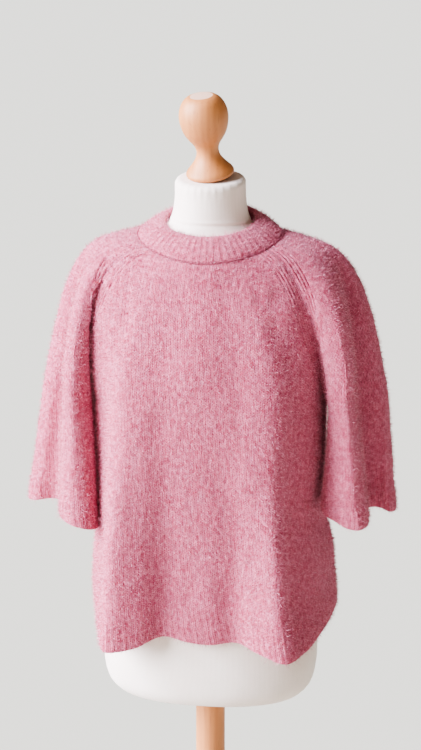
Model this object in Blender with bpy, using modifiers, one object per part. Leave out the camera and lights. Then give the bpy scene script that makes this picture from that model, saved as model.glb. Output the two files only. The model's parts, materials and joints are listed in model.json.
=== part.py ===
"""Half-sleeve raglan pullover in brushed wool, on a limbless dress form with a turned finial.

Lengths are millimetres and become metres when a mesh is made. The form faces -Y, +X is on the
viewer's right seen from the front, and the origin is the middle of the base's underside.
"""

import math
from collections import namedtuple

import bpy
import numpy as np
from mathutils import Matrix, Vector
from mathutils.bvhtree import BVHTree

MM = 0.001

# ---------------------------------------------------------------- driving dimensions

WALL = 3.0                 # thickness of the brushed knit
BAND_WALL = 4.0            # the neckband is knitted double
SEAM_GAP = 0.3             # between pieces that are sewn together
REST_GAP = 0.9             # between a corner of the cloth's wall and the form under it
STEM_GAP = 0.3             # between the turned pieces and what carries them
MITRE = 0.5                # keeps sharp corners of a piece from being moved too far in

UNDERARM = 1131            # height of the underarm bind-off
BIND_OFF = 22              # half of the bind-off's length, front or back of the side seam
CROTCH_X = 180             # how far out the bind-off lies
RIB_RAISE = 1.6            # how far a rib stands out of the wall
HEM_RIB = 57               # depth of the ribbing at the hem
CUFF_RIB = 35              # depth of the ribbing at the cuffs
CUFF = 948                 # nominal height of the cuffs
HEM = 775                  # nominal height of the hem

PANEL_CELLS = 33           # columns of a front or back, side seam to side seam
SLEEVE_CELLS = 29          # columns round a sleeve
RIBS_PER_CELL = 2          # ribs that leave each column of the plain knit
BAND_RIBS = 62             # ribs round the neckband
YOKE_ROWS = 7              # rows from the neckline to the underarm
SPAN_STEPS = 16            # fine steps from one fold to the next, where a ring is measured
REST_PASSES = 3            # times that the cloth is set off from the form under it
CREASE_ANGLE = 50          # edges sharper than this many degrees are not smoothed over

BODY_ROWS = (1118, 1080, 1038, 995, 950, 905, 868, HEM + HEM_RIB + 6)
HEM_ROWS = (HEM + HEM_RIB, HEM)
SLEEVE_ROWS = (1118, 1085, 1040, CUFF + CUFF_RIB + 6)
CUFF_ROWS = (CUFF + CUFF_RIB, CUFF)

# The neckline's seam and the neckband's upper edge are level ovals, bent up at the sides and back.
Oval = namedtuple("Oval", "half_width half_depth middle_y front_z side_z back_z")
NECK_SEAM = Oval(106, 89.5, -5.5, 1341, 1371, 1369)
BAND_TOP = Oval(66, 66, 0, 1372, 1396, 1407)
BAND_CROWN = 3.0           # how far the band bulges between its two edges
BAND_CROWN_RISE = 0.8      # the bulge points this much up for each step outwards
BAND_TURN = 0.25           # share of the band's height where it still faces as the yoke does
CLIMB_STEP = 0.01          # small step up the band, for the direction that it faces
RAGLAN_FRONT = 55          # angles from the front middle where the raglan seams meet the band
RAGLAN_BACK = 130
# The band's section, up its outside, over the folded edge and down its inside: the share of the
# way up, the depth into the band as a share of its wall, and how much of a rib's height.
BAND_SECTION = (
    (0.004, 0, 1), (0.35, 0, 1), (0.72, 0, 1), (0.96, 0.05, 1), (1.04, 0.5, 0.5),
    (0.96, 1, 0), (0.5, 1, 0), (0.004, 1, 0),
)

# The body's folds, going round from the front middle towards +X: the angle of each crest or
# trough, its distance from the middle at six heights, and the height of the hem there.
BELOW_CUFFS = 900
RISING_HEIGHTS = (HEM, HEM + HEM_RIB, BELOW_CUFFS, 955, 1040, UNDERARM)
Fold = namedtuple("Fold", "angle underarm chest cuff below rib hem hem_z")
FRONT_FOLDS = (
    Fold(-90, 175, 171, 169, 178, 181, 173, 786),
    Fold(-70, 174, 172, 172, 175, 180, 176, 782),
    Fold(-56, 170, 174, 181, 184, 188, 187, 770),
    Fold(-43, 170, 176, 186, 192, 197, 203, 764),
    Fold(-33, 156, 157, 159, 162, 165, 171, 770),
    Fold(-23, 142, 138, 134, 132, 131, 134, 784),
    Fold(-8, 134, 129, 126, 124, 124, 128, 778),
    Fold(8, 134, 129, 125, 124, 124, 127, 775),
    Fold(24, 142, 137, 132, 130, 129, 130, 778),
    Fold(32, 154, 150, 146, 148, 154, 168, 772),
    Fold(41, 167, 165, 168, 175, 187, 202, 763),
    Fold(54, 169, 165, 165, 173, 182, 196, 768),
    Fold(70, 174, 171, 166, 175, 182, 187, 776),
)
BACK_FOLDS = (
    Fold(90, 175, 174, 170, 182, 187, 188, 782),
    Fold(112, 172, 168, 172, 190, 197, 203, 784),
    Fold(134, 158, 160, 170, 181, 191, 201, 771),
    Fold(146, 142, 143, 150, 157, 165, 174, 776),
    Fold(158, 126, 127, 133, 138, 142, 147, 785),
    Fold(176, 114, 116, 121, 128, 134, 138, 778),
    Fold(196, 120, 122, 126, 131, 136, 140, 782),
    Fold(210, 136, 138, 143, 149, 156, 164, 776),
    Fold(222, 152, 155, 163, 172, 182, 193, 768),
    Fold(246, 170, 166, 170, 182, 188, 188, 782),
)

# A sleeve's folds, going round from its underarm seam by the front: where each lies at the
# underarm's height and at the cuff, and the cuff's height there.
Lobe = namedtuple("Lobe", "top_x top_y cuff_x cuff_y cuff_z")
RIGHT_SLEEVE = (
    Lobe(185, 0, 176, 14, 973),
    Lobe(185, -22, 175, -16, 970),
    Lobe(180, -46, 173, -44, 962),
    Lobe(180, -66, 193, -66, 954),
    Lobe(192, -82, 212, -80, 949),
    Lobe(210, -86, 228, -83, 948),
    Lobe(221, -70, 241, -68, 949),
    Lobe(223, -42, 243, -34, 953),
    Lobe(226, -18, 241, 2, 957),
    Lobe(240, -9, 253, 9, 955),
    Lobe(254, -2, 268, 8, 950),
    Lobe(264, 16, 280, 28, 946),
    Lobe(259, 44, 275, 58, 947),
    Lobe(236, 68, 250, 84, 950),
    Lobe(206, 80, 210, 98, 957),
    Lobe(190, 62, 178, 87, 968),
    Lobe(185, 22, 173, 50, 974),
)
LEFT_SLEEVE = (
    Lobe(-185, 0, -176, 14, 954),
    Lobe(-185, -22, -174, -28, 948),
    Lobe(-179, -48, -167, -64, 941),
    Lobe(-173, -64, -163, -98, 940),
    Lobe(-178, -84, -171, -119, 944),
    Lobe(-192, -98, -190, -121, 949),
    Lobe(-206, -90, -209, -103, 953),
    Lobe(-211, -66, -219, -66, 953),
    Lobe(-212, -36, -224, -22, 954),
    Lobe(-221, -15, -244, -8, 953),
    Lobe(-241, -8, -269, -8, 949),
    Lobe(-258, 10, -286, 9, 946),
    Lobe(-254, 40, -281, 48, 947),
    Lobe(-232, 68, -254, 84, 949),
    Lobe(-207, 80, -222, 95, 951),
    Lobe(-190, 62, -198, 82, 955),
    Lobe(-185, 22, -181, 48, 955),
)

# How the yoke leaves the neckline and comes down on the underarm's height: the handles of one
# curve in each row, evenly spaced from seam to seam, for +X (x changes sign on the other side).
# The front seams have their own on each side, since the pullover sits a little to the left.
Handle = namedtuple("Handle", "out_x out_y out_z up_x up_y up_z")
RIGHT_FRONT_SEAM = Handle(50, -20, -8, -14, -76, 99)
LEFT_FRONT_SEAM = Handle(-68, -14, -6, -8, -72, 99)
BACK_SEAM = Handle(56, 20, -8, 2, 70, 105)
FRONT_MID = Handle(24, -16, -36, 0, 0, 85)
FRONT_MIDDLE = Handle(0, -16, -42, 0, -2, 80)
BACK_MID = Handle(24, 22, -30, 0, 2, 90)
BACK_MIDDLE = Handle(0, 24, -36, 0, 4, 85)
SLEEVE_FRONT = Handle(76, -13, -7, -6, -5, 150)
SLEEVE_TOP = Handle(98, 0, -10, -36, -2, 216)
SLEEVE_BACK = Handle(74, 15, -9, -24, 25, 150)

# Level sections of the form, from the neck's cap to its underside.
Section = namedtuple("Section", "z half_width front back squareness")
FORM_SECTIONS = (
    Section(1417, 52.4, -52, 52.5, 2.0),
    Section(1397, 56, -53, 56, 2.0),
    Section(1386, 61, -54, 59, 2.0),
    Section(1375, 78, -57, 64, 2.0),
    Section(1364, 105, -61, 68, 2.0),
    Section(1353, 138, -69, 75, 2.0),
    Section(1338, 163, -78, 82, 2.0),
    Section(1312, 179, -92, 90, 2.1),
    Section(1270, 182, -107, 97, 2.2),
    Section(1200, 174, -122, 101, 2.3),
    Section(1130, 160, -128, 99, 2.4),
    Section(1060, 136, -113, 90, 2.3),
    Section(990, 116, -92, 80, 2.2),
    Section(930, 127, -97, 92, 2.2),
    Section(860, 152, -109, 112, 2.3),
    Section(800, 164, -115, 121, 2.3),
    Section(750, 165, -112, 119, 2.3),
    Section(702, 163, -110, 116, 2.3),
    Section(684, 159, -107, 113, 2.3),
    Section(670, 150, -100, 105, 2.3),
    Section(663, 138, -91, 95, 2.3),
    Section(661, 126, -82, 85, 2.3),
)
FORM_CORNERS = 40
NECK = Section(1450, 51.5, -51.5, 51.5, 2.0)
NECK_EDGE = 8              # rounding at the neck's cap
CAP_TILT = 9               # the cap slopes down to the front by this many degrees

FINIAL_LEAN = (-4.5, -5)   # degrees that the finial leans over more than the cap, in x and y
# The finial's outline from its top to its foot: distance from the axis, height above its foot.
FINIAL_OUTLINE = (
    (16.5, 119.5), (20, 118.5), (27, 113.5), (32.5, 104.5), (35.3, 94), (35.5, 85.5), (34, 76),
    (30.3, 66), (25, 57), (20, 49), (17, 41), (16.2, 34), (17.2, 27), (21, 20), (26.5, 13.5),
    (32, 8.5), (34.8, 5), (34.5, 1.8), (32.5, 0),
)
FINIAL_STEPS = 28
POLE_RADIUS = 22.5
POLE_STEPS = 32
BASE_RADIUS = 180
BASE_HEIGHT = 30
BASE_EDGE = 6              # rounding round the disc's top
BASE_FOOT = 2              # bevel round its underside
BASE_STEPS = 48


# ---------------------------------------------------------------- curves

def spline(keys, values, at):
    """Values at some places on a smooth curve through all of its rising keys."""
    keys = np.asarray(keys, float)
    values = np.asarray(values, float)
    at = np.asarray(at, float)
    slopes = np.gradient(values, keys, axis=0)
    span = np.clip(np.searchsorted(keys, at, side="right") - 1, 0, len(keys) - 2)
    width = keys[span + 1] - keys[span]
    u = (at - keys[span]) / width
    if values.ndim > 1:
        u = u[..., None]
        width = width[..., None]
    start = (1 + 2 * u) * (1 - u) ** 2 * values[span] + u * (1 - u) ** 2 * width * slopes[span]
    end = u * u * (3 - 2 * u) * values[span + 1] + u * u * (u - 1) * width * slopes[span + 1]
    return start + end


def closed_curve(points):
    """A fine closed line through the points, with SPAN_STEPS steps from each to the next."""
    ring = np.vstack([points[-2:], points, points[:3]])
    keys = np.concatenate([[0], np.cumsum(np.linalg.norm(np.diff(ring, axis=0), axis=1))])
    spans = [np.linspace(keys[i + 2], keys[i + 3], SPAN_STEPS, endpoint=False)
             for i in range(len(points))]
    line = spline(keys, ring, np.concatenate(spans))
    return np.vstack([line, line[:1]])


def lengths_along(line):
    """How far along a line each of its points lies."""
    return np.concatenate([[0], np.cumsum(np.linalg.norm(np.diff(line, axis=0), axis=1))])


def walk(line, fractions):
    """The points that lie at these fractions of a line's length."""
    along = lengths_along(line)
    places = np.asarray(fractions) * along[-1]
    return np.stack([np.interp(places, along, line[:, axis]) for axis in range(3)], axis=1)


def oval_points(oval, angles):
    """Points of a bent oval at some angles, in degrees from the front middle towards +X."""
    turn = np.radians(angles)
    ends = (oval.front_z + oval.back_z) / 2
    height = (ends + oval.side_z) / 2 + (ends - oval.side_z) / 2 * np.cos(2 * turn)
    height += (oval.front_z - oval.back_z) / 2 * np.cos(turn)
    across = oval.half_width * np.sin(turn)
    return np.stack([across, oval.middle_y - oval.half_depth * np.cos(turn), height], axis=1)


# ---------------------------------------------------------------- rings of the garment

def body_ring(height):
    """The body's folds at a height, as a closed line that starts at the left side seam."""
    points = []
    for fold in FRONT_FOLDS + BACK_FOLDS:
        turn = math.radians(fold.angle)
        radius = spline(RISING_HEIGHTS, fold[6:0:-1], height)
        hem_shift = fold.hem_z - HEM
        z = height + hem_shift * np.interp(-height, (-BELOW_CUFFS, -HEM - HEM_RIB), (0, 1))
        points.append((radius * math.sin(turn), -radius * math.cos(turn), z))
    return closed_curve(np.array(points))


def front_line(height):
    return body_ring(height)[:len(FRONT_FOLDS) * SPAN_STEPS + 1]


def back_line(height):
    return body_ring(height)[len(FRONT_FOLDS) * SPAN_STEPS:]


def sleeve_line(lobes, height):
    """A sleeve's closed line at a height, from its underarm seam round by the front."""
    share = (UNDERARM - height) / (UNDERARM - CUFF)
    points = []
    for lobe in lobes:
        x = lobe.top_x + (lobe.cuff_x - lobe.top_x) * share
        y = lobe.top_y + (lobe.cuff_y - lobe.top_y) * share
        cuff_shift = lobe.cuff_z - CUFF
        z = height + cuff_shift * np.interp(-height, (-UNDERARM, -CUFF - CUFF_RIB), (0, 1))
        points.append((x, y, z))
    return closed_curve(np.array(points))


# ---------------------------------------------------------------- knitted pieces

class Cloth:
    """The outer surface of a knitted piece: its points, the cells between them, and the points
    that are crests of ribs."""

    def __init__(self, name, flipped=False):
        self.name = name
        self.points = []
        self.cells = []
        self.crests = []
        self.flipped = flipped

    def row(self, points, closed=False, ribbed=False):
        """Adds a row and gives its points' numbers. A closed row ends on its first point."""
        first = len(self.points)
        self.points.extend(points[:-1] if closed else points)
        names = list(range(first, len(self.points)))
        if closed:
            names.append(first)
        if ribbed:
            self.crests.extend(names[1::2])
        return names

    def cell(self, *corners):
        self.cells.append(corners[::-1] if self.flipped else corners)

    def strip(self, upper, lower):
        """Fills between two rows, with fans where the lower one has more points."""
        fan = (len(lower) - 1) // (len(upper) - 1)
        for i, (left, right) in enumerate(zip(upper, upper[1:])):
            below = lower[i * fan:(i + 1) * fan + 1]
            if fan == 1:
                self.cell(left, below[0], below[1], right)
                continue
            for k in range(fan):
                self.cell(left if k < fan // 2 else right, below[k], below[k + 1])
            self.cell(left, below[fan // 2], right)


def knit(cloth, cells, ring, bind_off, neckline, handles, heights, rib_heights, closed=False):
    """Makes a front, back or sleeve from its neckline down to its ribbed edge.

    ring gives the piece's line at a height, and bind_off the four points of the underarm's row
    that are sewn to the next pieces: its ends and the corners where the raglan seams arrive.
    """
    line = ring(UNDERARM)
    corner = BIND_OFF / lengths_along(line)[-1]
    even = np.linspace(0, 1, cells + 1)
    pinned = np.interp(even, (0, even[1], even[-2], 1), (0, corner, 1 - corner, 1))
    underarm = walk(line, pinned)
    underarm[[0, 1, -2, -1]] = bind_off

    keys = np.linspace(0, 1, len(handles))
    bends = spline(keys, handles, np.linspace(0, 1, cells - 1))
    start, end = neckline, underarm[1:-1]
    above = None
    for t in np.arange(YOKE_ROWS) / YOKE_ROWS:
        curve = ((1 - t) ** 3 * start + 3 * t * (1 - t) ** 2 * (start + bends[:, :3])
                 + 3 * t * t * (1 - t) * (end + bends[:, 3:]) + t ** 3 * end)
        row = cloth.row(curve)
        if above:
            cloth.strip(above, row)
        above = row

    row = cloth.row(underarm, closed)
    cloth.strip(above, row[1:-1])
    above = row
    for height in heights:
        share = (UNDERARM - height) / (UNDERARM - heights[-1])
        row = cloth.row(walk(ring(height), pinned + (even - pinned) * share), closed)
        cloth.strip(above, row)
        above = row

    fine = np.linspace(0, 1, cells * RIBS_PER_CELL * 2 + 1)
    for height in rib_heights:
        row = cloth.row(walk(ring(height), fine), closed, ribbed=True)
        cloth.strip(above, row)
        above = row
    return cloth


def mirrored(handle):
    return Handle(-handle.out_x, handle.out_y, handle.out_z,
                  -handle.up_x, handle.up_y, handle.up_z)


def underarm_points(side, first_y):
    """The bind-off at one side: its middle, and its corner towards first_y."""
    return [(side * CROTCH_X, 0, UNDERARM), (side * CROTCH_X, first_y, UNDERARM)]


def neckline_angles():
    """The angles of the neckline's points: on the front, one sleeve and the back."""
    return (np.linspace(-RAGLAN_FRONT, RAGLAN_FRONT, PANEL_CELLS - 1),
            np.linspace(RAGLAN_FRONT, RAGLAN_BACK, SLEEVE_CELLS - 1),
            np.linspace(RAGLAN_BACK, 360 - RAGLAN_BACK, PANEL_CELLS - 1))


def make_front():
    cloth = Cloth("front")
    bind_off = underarm_points(-1, -BIND_OFF) + underarm_points(1, -BIND_OFF)[::-1]
    angles = neckline_angles()[0]
    handles = [LEFT_FRONT_SEAM, mirrored(FRONT_MID), FRONT_MIDDLE, FRONT_MID,
               RIGHT_FRONT_SEAM]
    return knit(cloth, PANEL_CELLS, front_line, bind_off, oval_points(NECK_SEAM, angles),
                handles, BODY_ROWS, HEM_ROWS)


def make_back():
    cloth = Cloth("back")
    bind_off = underarm_points(1, BIND_OFF) + underarm_points(-1, BIND_OFF)[::-1]
    angles = neckline_angles()[2]
    handles = [BACK_SEAM, BACK_MID, BACK_MIDDLE, mirrored(BACK_MID), mirrored(BACK_SEAM)]
    return knit(cloth, PANEL_CELLS, back_line, bind_off, oval_points(NECK_SEAM, angles),
                handles, BODY_ROWS, HEM_ROWS)


def make_sleeve(name, lobes, side):
    cloth = Cloth(name, flipped=side < 0)
    bind_off = underarm_points(side, -BIND_OFF) + underarm_points(side, BIND_OFF)[::-1]
    angles = neckline_angles()[1]
    handles = [RIGHT_FRONT_SEAM, SLEEVE_FRONT, SLEEVE_TOP, SLEEVE_BACK, BACK_SEAM]
    if side < 0:
        handles = [LEFT_FRONT_SEAM] + [mirrored(handle) for handle in handles[1:]]
    return knit(cloth, SLEEVE_CELLS, lambda height: sleeve_line(lobes, height), bind_off,
                oval_points(NECK_SEAM, side * angles), handles, SLEEVE_ROWS, CUFF_ROWS, closed=True)


def band_points(angles, climb):
    """The neckband's outer face at a share of the way up from its seam."""
    low = oval_points(NECK_SEAM, angles)
    high = oval_points(BAND_TOP, angles)
    outward = np.stack([np.sin(np.radians(angles)), -np.cos(np.radians(angles)),
                        np.full(len(angles), BAND_CROWN_RISE)], axis=1)
    outward /= math.hypot(1, BAND_CROWN_RISE)
    crown = BAND_CROWN * 4 * climb * (1 - climb)
    return low + (high - low) * climb + outward * crown


def neckline_guide():
    """The neckband's foot as one more surface, for the direction that the walls have there: its
    first points are on the seam, and it comes with their angles."""
    front, sleeve, back = neckline_angles()
    angles = np.concatenate([front[:-1], sleeve[:-1], back[:-1], 360 - sleeve[::-1]])
    cloth = Cloth("guide")
    low = cloth.row(band_points(angles, 0.0), closed=True)
    high = cloth.row(band_points(angles, BAND_TURN), closed=True)
    cloth.strip(high, low)
    return cloth, angles[:-1]


# ---------------------------------------------------------------- walls

def normals_of(points, cells):
    """Each point's outward direction, averaged over the cells that meet there."""
    total = np.zeros_like(points)
    for cell in cells:
        corners = points[list(cell)]
        centre = corners.mean(axis=0)
        spokes = corners - centre
        area = sum(np.cross(spokes[i - 1], spokes[i]) for i in range(len(cell)))
        total[list(cell)] += area
    return total / np.linalg.norm(total, axis=1, keepdims=True)


def share_normals(pieces):
    """Outward directions for every piece, the same at both sides of each seam."""
    numbers = {}
    joined = []
    cells = []
    own = []
    for piece in pieces:
        names = []
        for point in piece.points:
            key = tuple(np.round(point, 2))
            if key not in numbers:
                numbers[key] = len(joined)
                joined.append(point)
            names.append(numbers[key])
        cells += [tuple(names[i] for i in cell) for cell in piece.cells]
        own.append(names)
    normals = normals_of(np.array(joined), cells)
    return [normals[names] for names in own]


def open_edges(cells):
    """The edges with a cell on one side only, each in its cell's direction."""
    edges = {(cell[i - 1], cell[i]): cell for cell in cells for i in range(len(cell))}
    return {edge: cell for edge, cell in edges.items() if edge[::-1] not in edges}


def pull_back(points, normals, cells, distance):
    """Moves a piece's open edges into the piece, corners by as much from both of their edges."""
    inward = np.zeros_like(points)
    for (start, end), cell in open_edges(cells).items():
        run = points[end] - points[start]
        across = np.cross(normals[start] + normals[end], run)
        across *= np.sign(np.dot(across, points[list(cell)].mean(axis=0) - points[start]))
        inward[[start, end]] += across / np.linalg.norm(across)
    size = np.maximum((inward ** 2).sum(axis=1, keepdims=True), MITRE)
    edges_met = np.bincount(np.ravel(list(open_edges(cells))), minlength=len(points))[:, None]
    return points + distance * edges_met * inward / size


def rest_on(form, points, normals):
    """Moves points of the outer face out, where the wall under them would be in the form."""
    rested = points.copy()
    for _ in range(REST_PASSES):
        for i, (point, normal) in enumerate(zip(rested, normals)):
            inner = Vector((point - WALL * normal) * MM)
            spot, away, _, _ = form.find_nearest(inner)
            clear = (inner - spot).dot(away) / MM
            if clear < REST_GAP:
                rested[i] = point + np.array(away) * (REST_GAP - clear)
    return rested


def wall(piece, points, normals):
    """The solid wall of a knitted piece: ribbed outside, plain inside, closed round its edges.

    The edge's facets are split from their higher outer corner, so that both sides of a seam have
    the same ones.
    """
    outer = pull_back(points, normals, piece.cells, SEAM_GAP / 2)
    inner = outer - WALL * normals
    outer[piece.crests] += RIB_RAISE * normals[piece.crests]
    count = len(outer)
    faces = list(piece.cells)
    faces += [tuple(i + count for i in reversed(cell)) for cell in piece.cells]
    for start, end in open_edges(piece.cells):
        if outer[start][2] > outer[end][2]:
            faces += [(end, start, end + count), (start, start + count, end + count)]
        else:
            faces += [(end, start, start + count), (end, start + count, end + count)]
    return solid(piece.name, np.vstack([outer, inner]), faces)


# ---------------------------------------------------------------- meshes and materials

def material(name, colour, roughness):
    found = bpy.data.materials.get(name)
    if found:
        return found
    made = bpy.data.materials.new(name)
    made.use_nodes = True
    shader = made.node_tree.nodes["Principled BSDF"]
    shader.inputs["Base Color"].default_value = (*colour, 1)
    shader.inputs["Roughness"].default_value = roughness
    shader.inputs["Metallic"].default_value = 0
    return made


def brushed_wool():
    return material("brushed pink wool", (0.62, 0.25, 0.29), 0.95)


def jersey():
    return material("cream cotton jersey", (0.80, 0.74, 0.70), 0.85)


def beech():
    return material("waxed beech", (0.58, 0.33, 0.20), 0.45)


def solid(name, points, faces):
    """An object made of points in millimetres and the faces between them."""
    mesh = bpy.data.meshes.new(name)
    mesh.from_pydata([tuple(point) for point in np.asarray(points) * MM], [], faces)
    mesh.validate()
    mesh.shade_smooth()
    mesh.set_sharp_from_angle(angle=math.radians(CREASE_ANGLE))
    made = bpy.data.objects.new(name, mesh)
    parts.objects.link(made)
    return made


def dress(made, look):
    made.data.materials.append(look)
    return made


# ---------------------------------------------------------------- the neckband

def make_neckband(seam_angles, seam_normals):
    """A double ribbed band: a closed ring whose section runs up the outside, over the folded edge
    and down the inside."""
    count = BAND_RIBS * 2
    angles = np.arange(count) * 360 / count
    order = np.argsort(seam_angles)
    foot = np.stack([np.interp(angles, seam_angles[order], seam_normals[order, axis], period=360)
                     for axis in range(3)], axis=1)
    crests = RIB_RAISE * (np.arange(count) % 2)[:, None]
    rows = []
    for climb, depth, ribbed in BAND_SECTION:
        surface = band_points(angles, climb)
        along = (band_points(angles, climb + CLIMB_STEP)
                 - band_points(angles, climb - CLIMB_STEP))
        around = np.roll(surface, -1, axis=0) - np.roll(surface, 1, axis=0)
        normal = np.cross(around, along)
        normal /= np.linalg.norm(normal, axis=1, keepdims=True)
        blend = max(0.0, 1 - climb / BAND_TURN)
        normal = normal * (1 - blend) + foot * blend
        normal /= np.linalg.norm(normal, axis=1, keepdims=True)
        rows.append(surface + normal * (ribbed * crests - depth * BAND_WALL))
    return dress(lofted_ring("neckband", rows), brushed_wool())


def lofted_ring(name, rows):
    """A closed ring through rows that follow its section round."""
    count = len(rows[0])
    faces = []
    for i in range(len(rows)):
        below = i * count
        above = (i + 1) % len(rows) * count
        for j in range(count):
            k = (j + 1) % count
            faces.append((below + j, below + k, above + k, above + j))
    return solid(name, np.vstack(rows), faces)


# ---------------------------------------------------------------- the dress form

def section_points(section, tilt=0.0):
    """A level section of the form: a squared oval, deeper in front than behind."""
    turn = np.arange(FORM_CORNERS) * math.tau / FORM_CORNERS
    power = 2 / section.squareness
    across = section.half_width * np.sign(np.sin(turn)) * np.abs(np.sin(turn)) ** power
    ahead = np.cos(turn)
    along = np.where(ahead > 0, section.front, section.back) * np.abs(ahead) ** power
    height = section.z + math.tan(math.radians(tilt)) * along
    return np.stack([across, along, height], axis=1)


def make_form():
    """The torso, covered in jersey, from its rounded and tilted neck cap to its flat underside."""
    rows = []
    for turn in np.radians((90, 50, 0)):
        inset = NECK_EDGE * (1 - math.cos(turn))
        drop = NECK_EDGE * (1 - math.sin(turn))
        edge = Section(NECK.z - drop, NECK.half_width - inset, NECK.front + inset,
                       NECK.back - inset, NECK.squareness)
        rows.append(section_points(edge, CAP_TILT))
    rows += [section_points(section) for section in FORM_SECTIONS]
    faces = [tuple(range(FORM_CORNERS))]
    for i in range(len(rows) - 1):
        for j in range(FORM_CORNERS):
            k = (j + 1) % FORM_CORNERS
            upper, lower = i * FORM_CORNERS, (i + 1) * FORM_CORNERS
            faces.append((upper + j, lower + j, lower + k, upper + k))
    last = (len(rows) - 1) * FORM_CORNERS
    faces.append(tuple(range(last, last + FORM_CORNERS))[::-1])
    return dress(solid("form_torso", np.vstack(rows), faces), jersey())


def turned(name, outline, steps):
    """A turned piece: its outline from the top down, swept round by a Screw modifier."""
    points = [(0, 0, outline[0][1] * MM)]
    points += [(radius * MM, 0, height * MM) for radius, height in outline]
    points.append((0, 0, outline[-1][1] * MM))
    mesh = bpy.data.meshes.new(name)
    mesh.from_pydata(points, [(i, i + 1) for i in range(len(points) - 1)], [])
    made = bpy.data.objects.new(name, mesh)
    parts.objects.link(made)
    screw = made.modifiers.new("turning", "SCREW")
    screw.steps = steps
    screw.render_steps = steps
    screw.use_merge_vertices = True
    screw.merge_threshold = 0.05 * MM
    screw.use_smooth_shade = True
    return dress(made, beech())


def make_finial():
    """The turned knob on the cap. It leans over a little and touches the cap at its left edge."""
    finial = turned("finial", FINIAL_OUTLINE, FINIAL_STEPS)
    cap = Vector((0, -math.sin(math.radians(CAP_TILT)), math.cos(math.radians(CAP_TILT))))
    lean_x, lean_y = (math.tan(math.radians(angle)) for angle in FINIAL_LEAN)
    axis = (cap + Vector((lean_x, lean_y, 0))).normalized()
    foot = FINIAL_OUTLINE[-1][0]
    lift = STEM_GAP + foot * math.sin(axis.angle(cap))
    finial.matrix_world = (Matrix.Translation((Vector((0, 0, NECK.z)) + cap * lift) * MM)
                           @ Vector((0, 0, 1)).rotation_difference(axis).to_matrix().to_4x4())
    return finial


def make_pole():
    bottom = BASE_HEIGHT + STEM_GAP
    top = FORM_SECTIONS[-1].z - STEM_GAP
    bpy.ops.mesh.primitive_cylinder_add(vertices=POLE_STEPS, radius=POLE_RADIUS * MM,
                                        depth=(top - bottom) * MM,
                                        location=(0, 0, (top + bottom) / 2 * MM))
    pole = bpy.context.object
    pole.name = pole.data.name = "pole"
    for collection in list(pole.users_collection):
        collection.objects.unlink(pole)
    parts.objects.link(pole)
    pole.data.shade_smooth()
    pole.data.set_sharp_from_angle(angle=math.radians(CREASE_ANGLE))
    return dress(pole, beech())


def make_base():
    edge = [(BASE_RADIUS - BASE_EDGE * (1 - math.sin(math.radians(turn))),
             BASE_HEIGHT - BASE_EDGE * (1 - math.cos(math.radians(turn))))
            for turn in (0, 45, 90)]
    foot = [(BASE_RADIUS, BASE_FOOT), (BASE_RADIUS - BASE_FOOT, 0)]
    return turned("base", edge + foot, BASE_STEPS)


# ---------------------------------------------------------------- building

for old in list(bpy.data.objects):
    bpy.data.objects.remove(old)
parts = bpy.data.collections.new("pullover_on_form")
bpy.context.scene.collection.children.link(parts)

torso = make_form()
make_finial()
make_pole()
make_base()

bpy.context.view_layer.update()
torso_tree = BVHTree.FromObject(torso, bpy.context.evaluated_depsgraph_get())

guide, guide_angles = neckline_guide()
pieces = [make_front(), make_back(), make_sleeve("sleeve_right", RIGHT_SLEEVE, 1),
          make_sleeve("sleeve_left", LEFT_SLEEVE, -1)]
for piece, normals in zip(pieces, share_normals(pieces + [guide])):
    piece.points = rest_on(torso_tree, np.array(piece.points), normals)
*piece_normals, guide_normals = share_normals(pieces + [guide])
for piece, normals in zip(pieces, piece_normals):
    dress(wall(piece, np.array(piece.points), normals), brushed_wool())
make_neckband(guide_angles, guide_normals[:len(guide_angles)])
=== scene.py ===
"""Brushed raglan pullover on a limbless dress form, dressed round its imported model.

Lengths in the tables are millimetres. The form faces -Y, and +X is on the viewer's right.
"""

import json
import math
from collections import namedtuple

import bpy
import numpy as np
from mathutils import Matrix, Vector, noise
from mathutils.bvhtree import BVHTree

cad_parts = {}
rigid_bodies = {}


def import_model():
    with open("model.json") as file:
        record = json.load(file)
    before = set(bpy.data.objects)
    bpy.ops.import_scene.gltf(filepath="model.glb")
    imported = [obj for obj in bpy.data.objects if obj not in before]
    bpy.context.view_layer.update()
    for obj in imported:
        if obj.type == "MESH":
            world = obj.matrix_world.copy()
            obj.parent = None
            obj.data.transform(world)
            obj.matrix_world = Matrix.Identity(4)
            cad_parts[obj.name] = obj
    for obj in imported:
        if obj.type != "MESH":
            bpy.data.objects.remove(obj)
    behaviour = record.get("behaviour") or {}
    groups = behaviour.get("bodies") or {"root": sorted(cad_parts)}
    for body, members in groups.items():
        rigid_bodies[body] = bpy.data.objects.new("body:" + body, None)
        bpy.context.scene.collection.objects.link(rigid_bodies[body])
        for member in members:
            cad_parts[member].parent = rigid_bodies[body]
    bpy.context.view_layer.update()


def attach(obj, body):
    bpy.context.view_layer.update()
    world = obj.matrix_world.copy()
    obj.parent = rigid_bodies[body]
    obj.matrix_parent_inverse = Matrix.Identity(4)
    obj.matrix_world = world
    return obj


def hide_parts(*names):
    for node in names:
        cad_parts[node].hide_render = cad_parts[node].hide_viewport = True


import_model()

# ---------------------------------------------------------------- torso
# The display torso: a moulded shell in a cover of cream cotton jersey, drawn tight over it and
# gathered at the neck's cap. It is one smooth body, so it follows level sections of a squared
# oval, with a soft crease where the neck meets the shoulders.

MM = 0.001


def linear(hex_colour):
    """The linear colour of an sRGB hex value."""
    parts = [int(hex_colour[i:i + 2], 16) / 255 for i in (1, 3, 5)]
    return tuple(c / 12.92 if c <= 0.04045 else ((c + 0.055) / 1.055) ** 2.4 for c in parts) + (1,)


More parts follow.
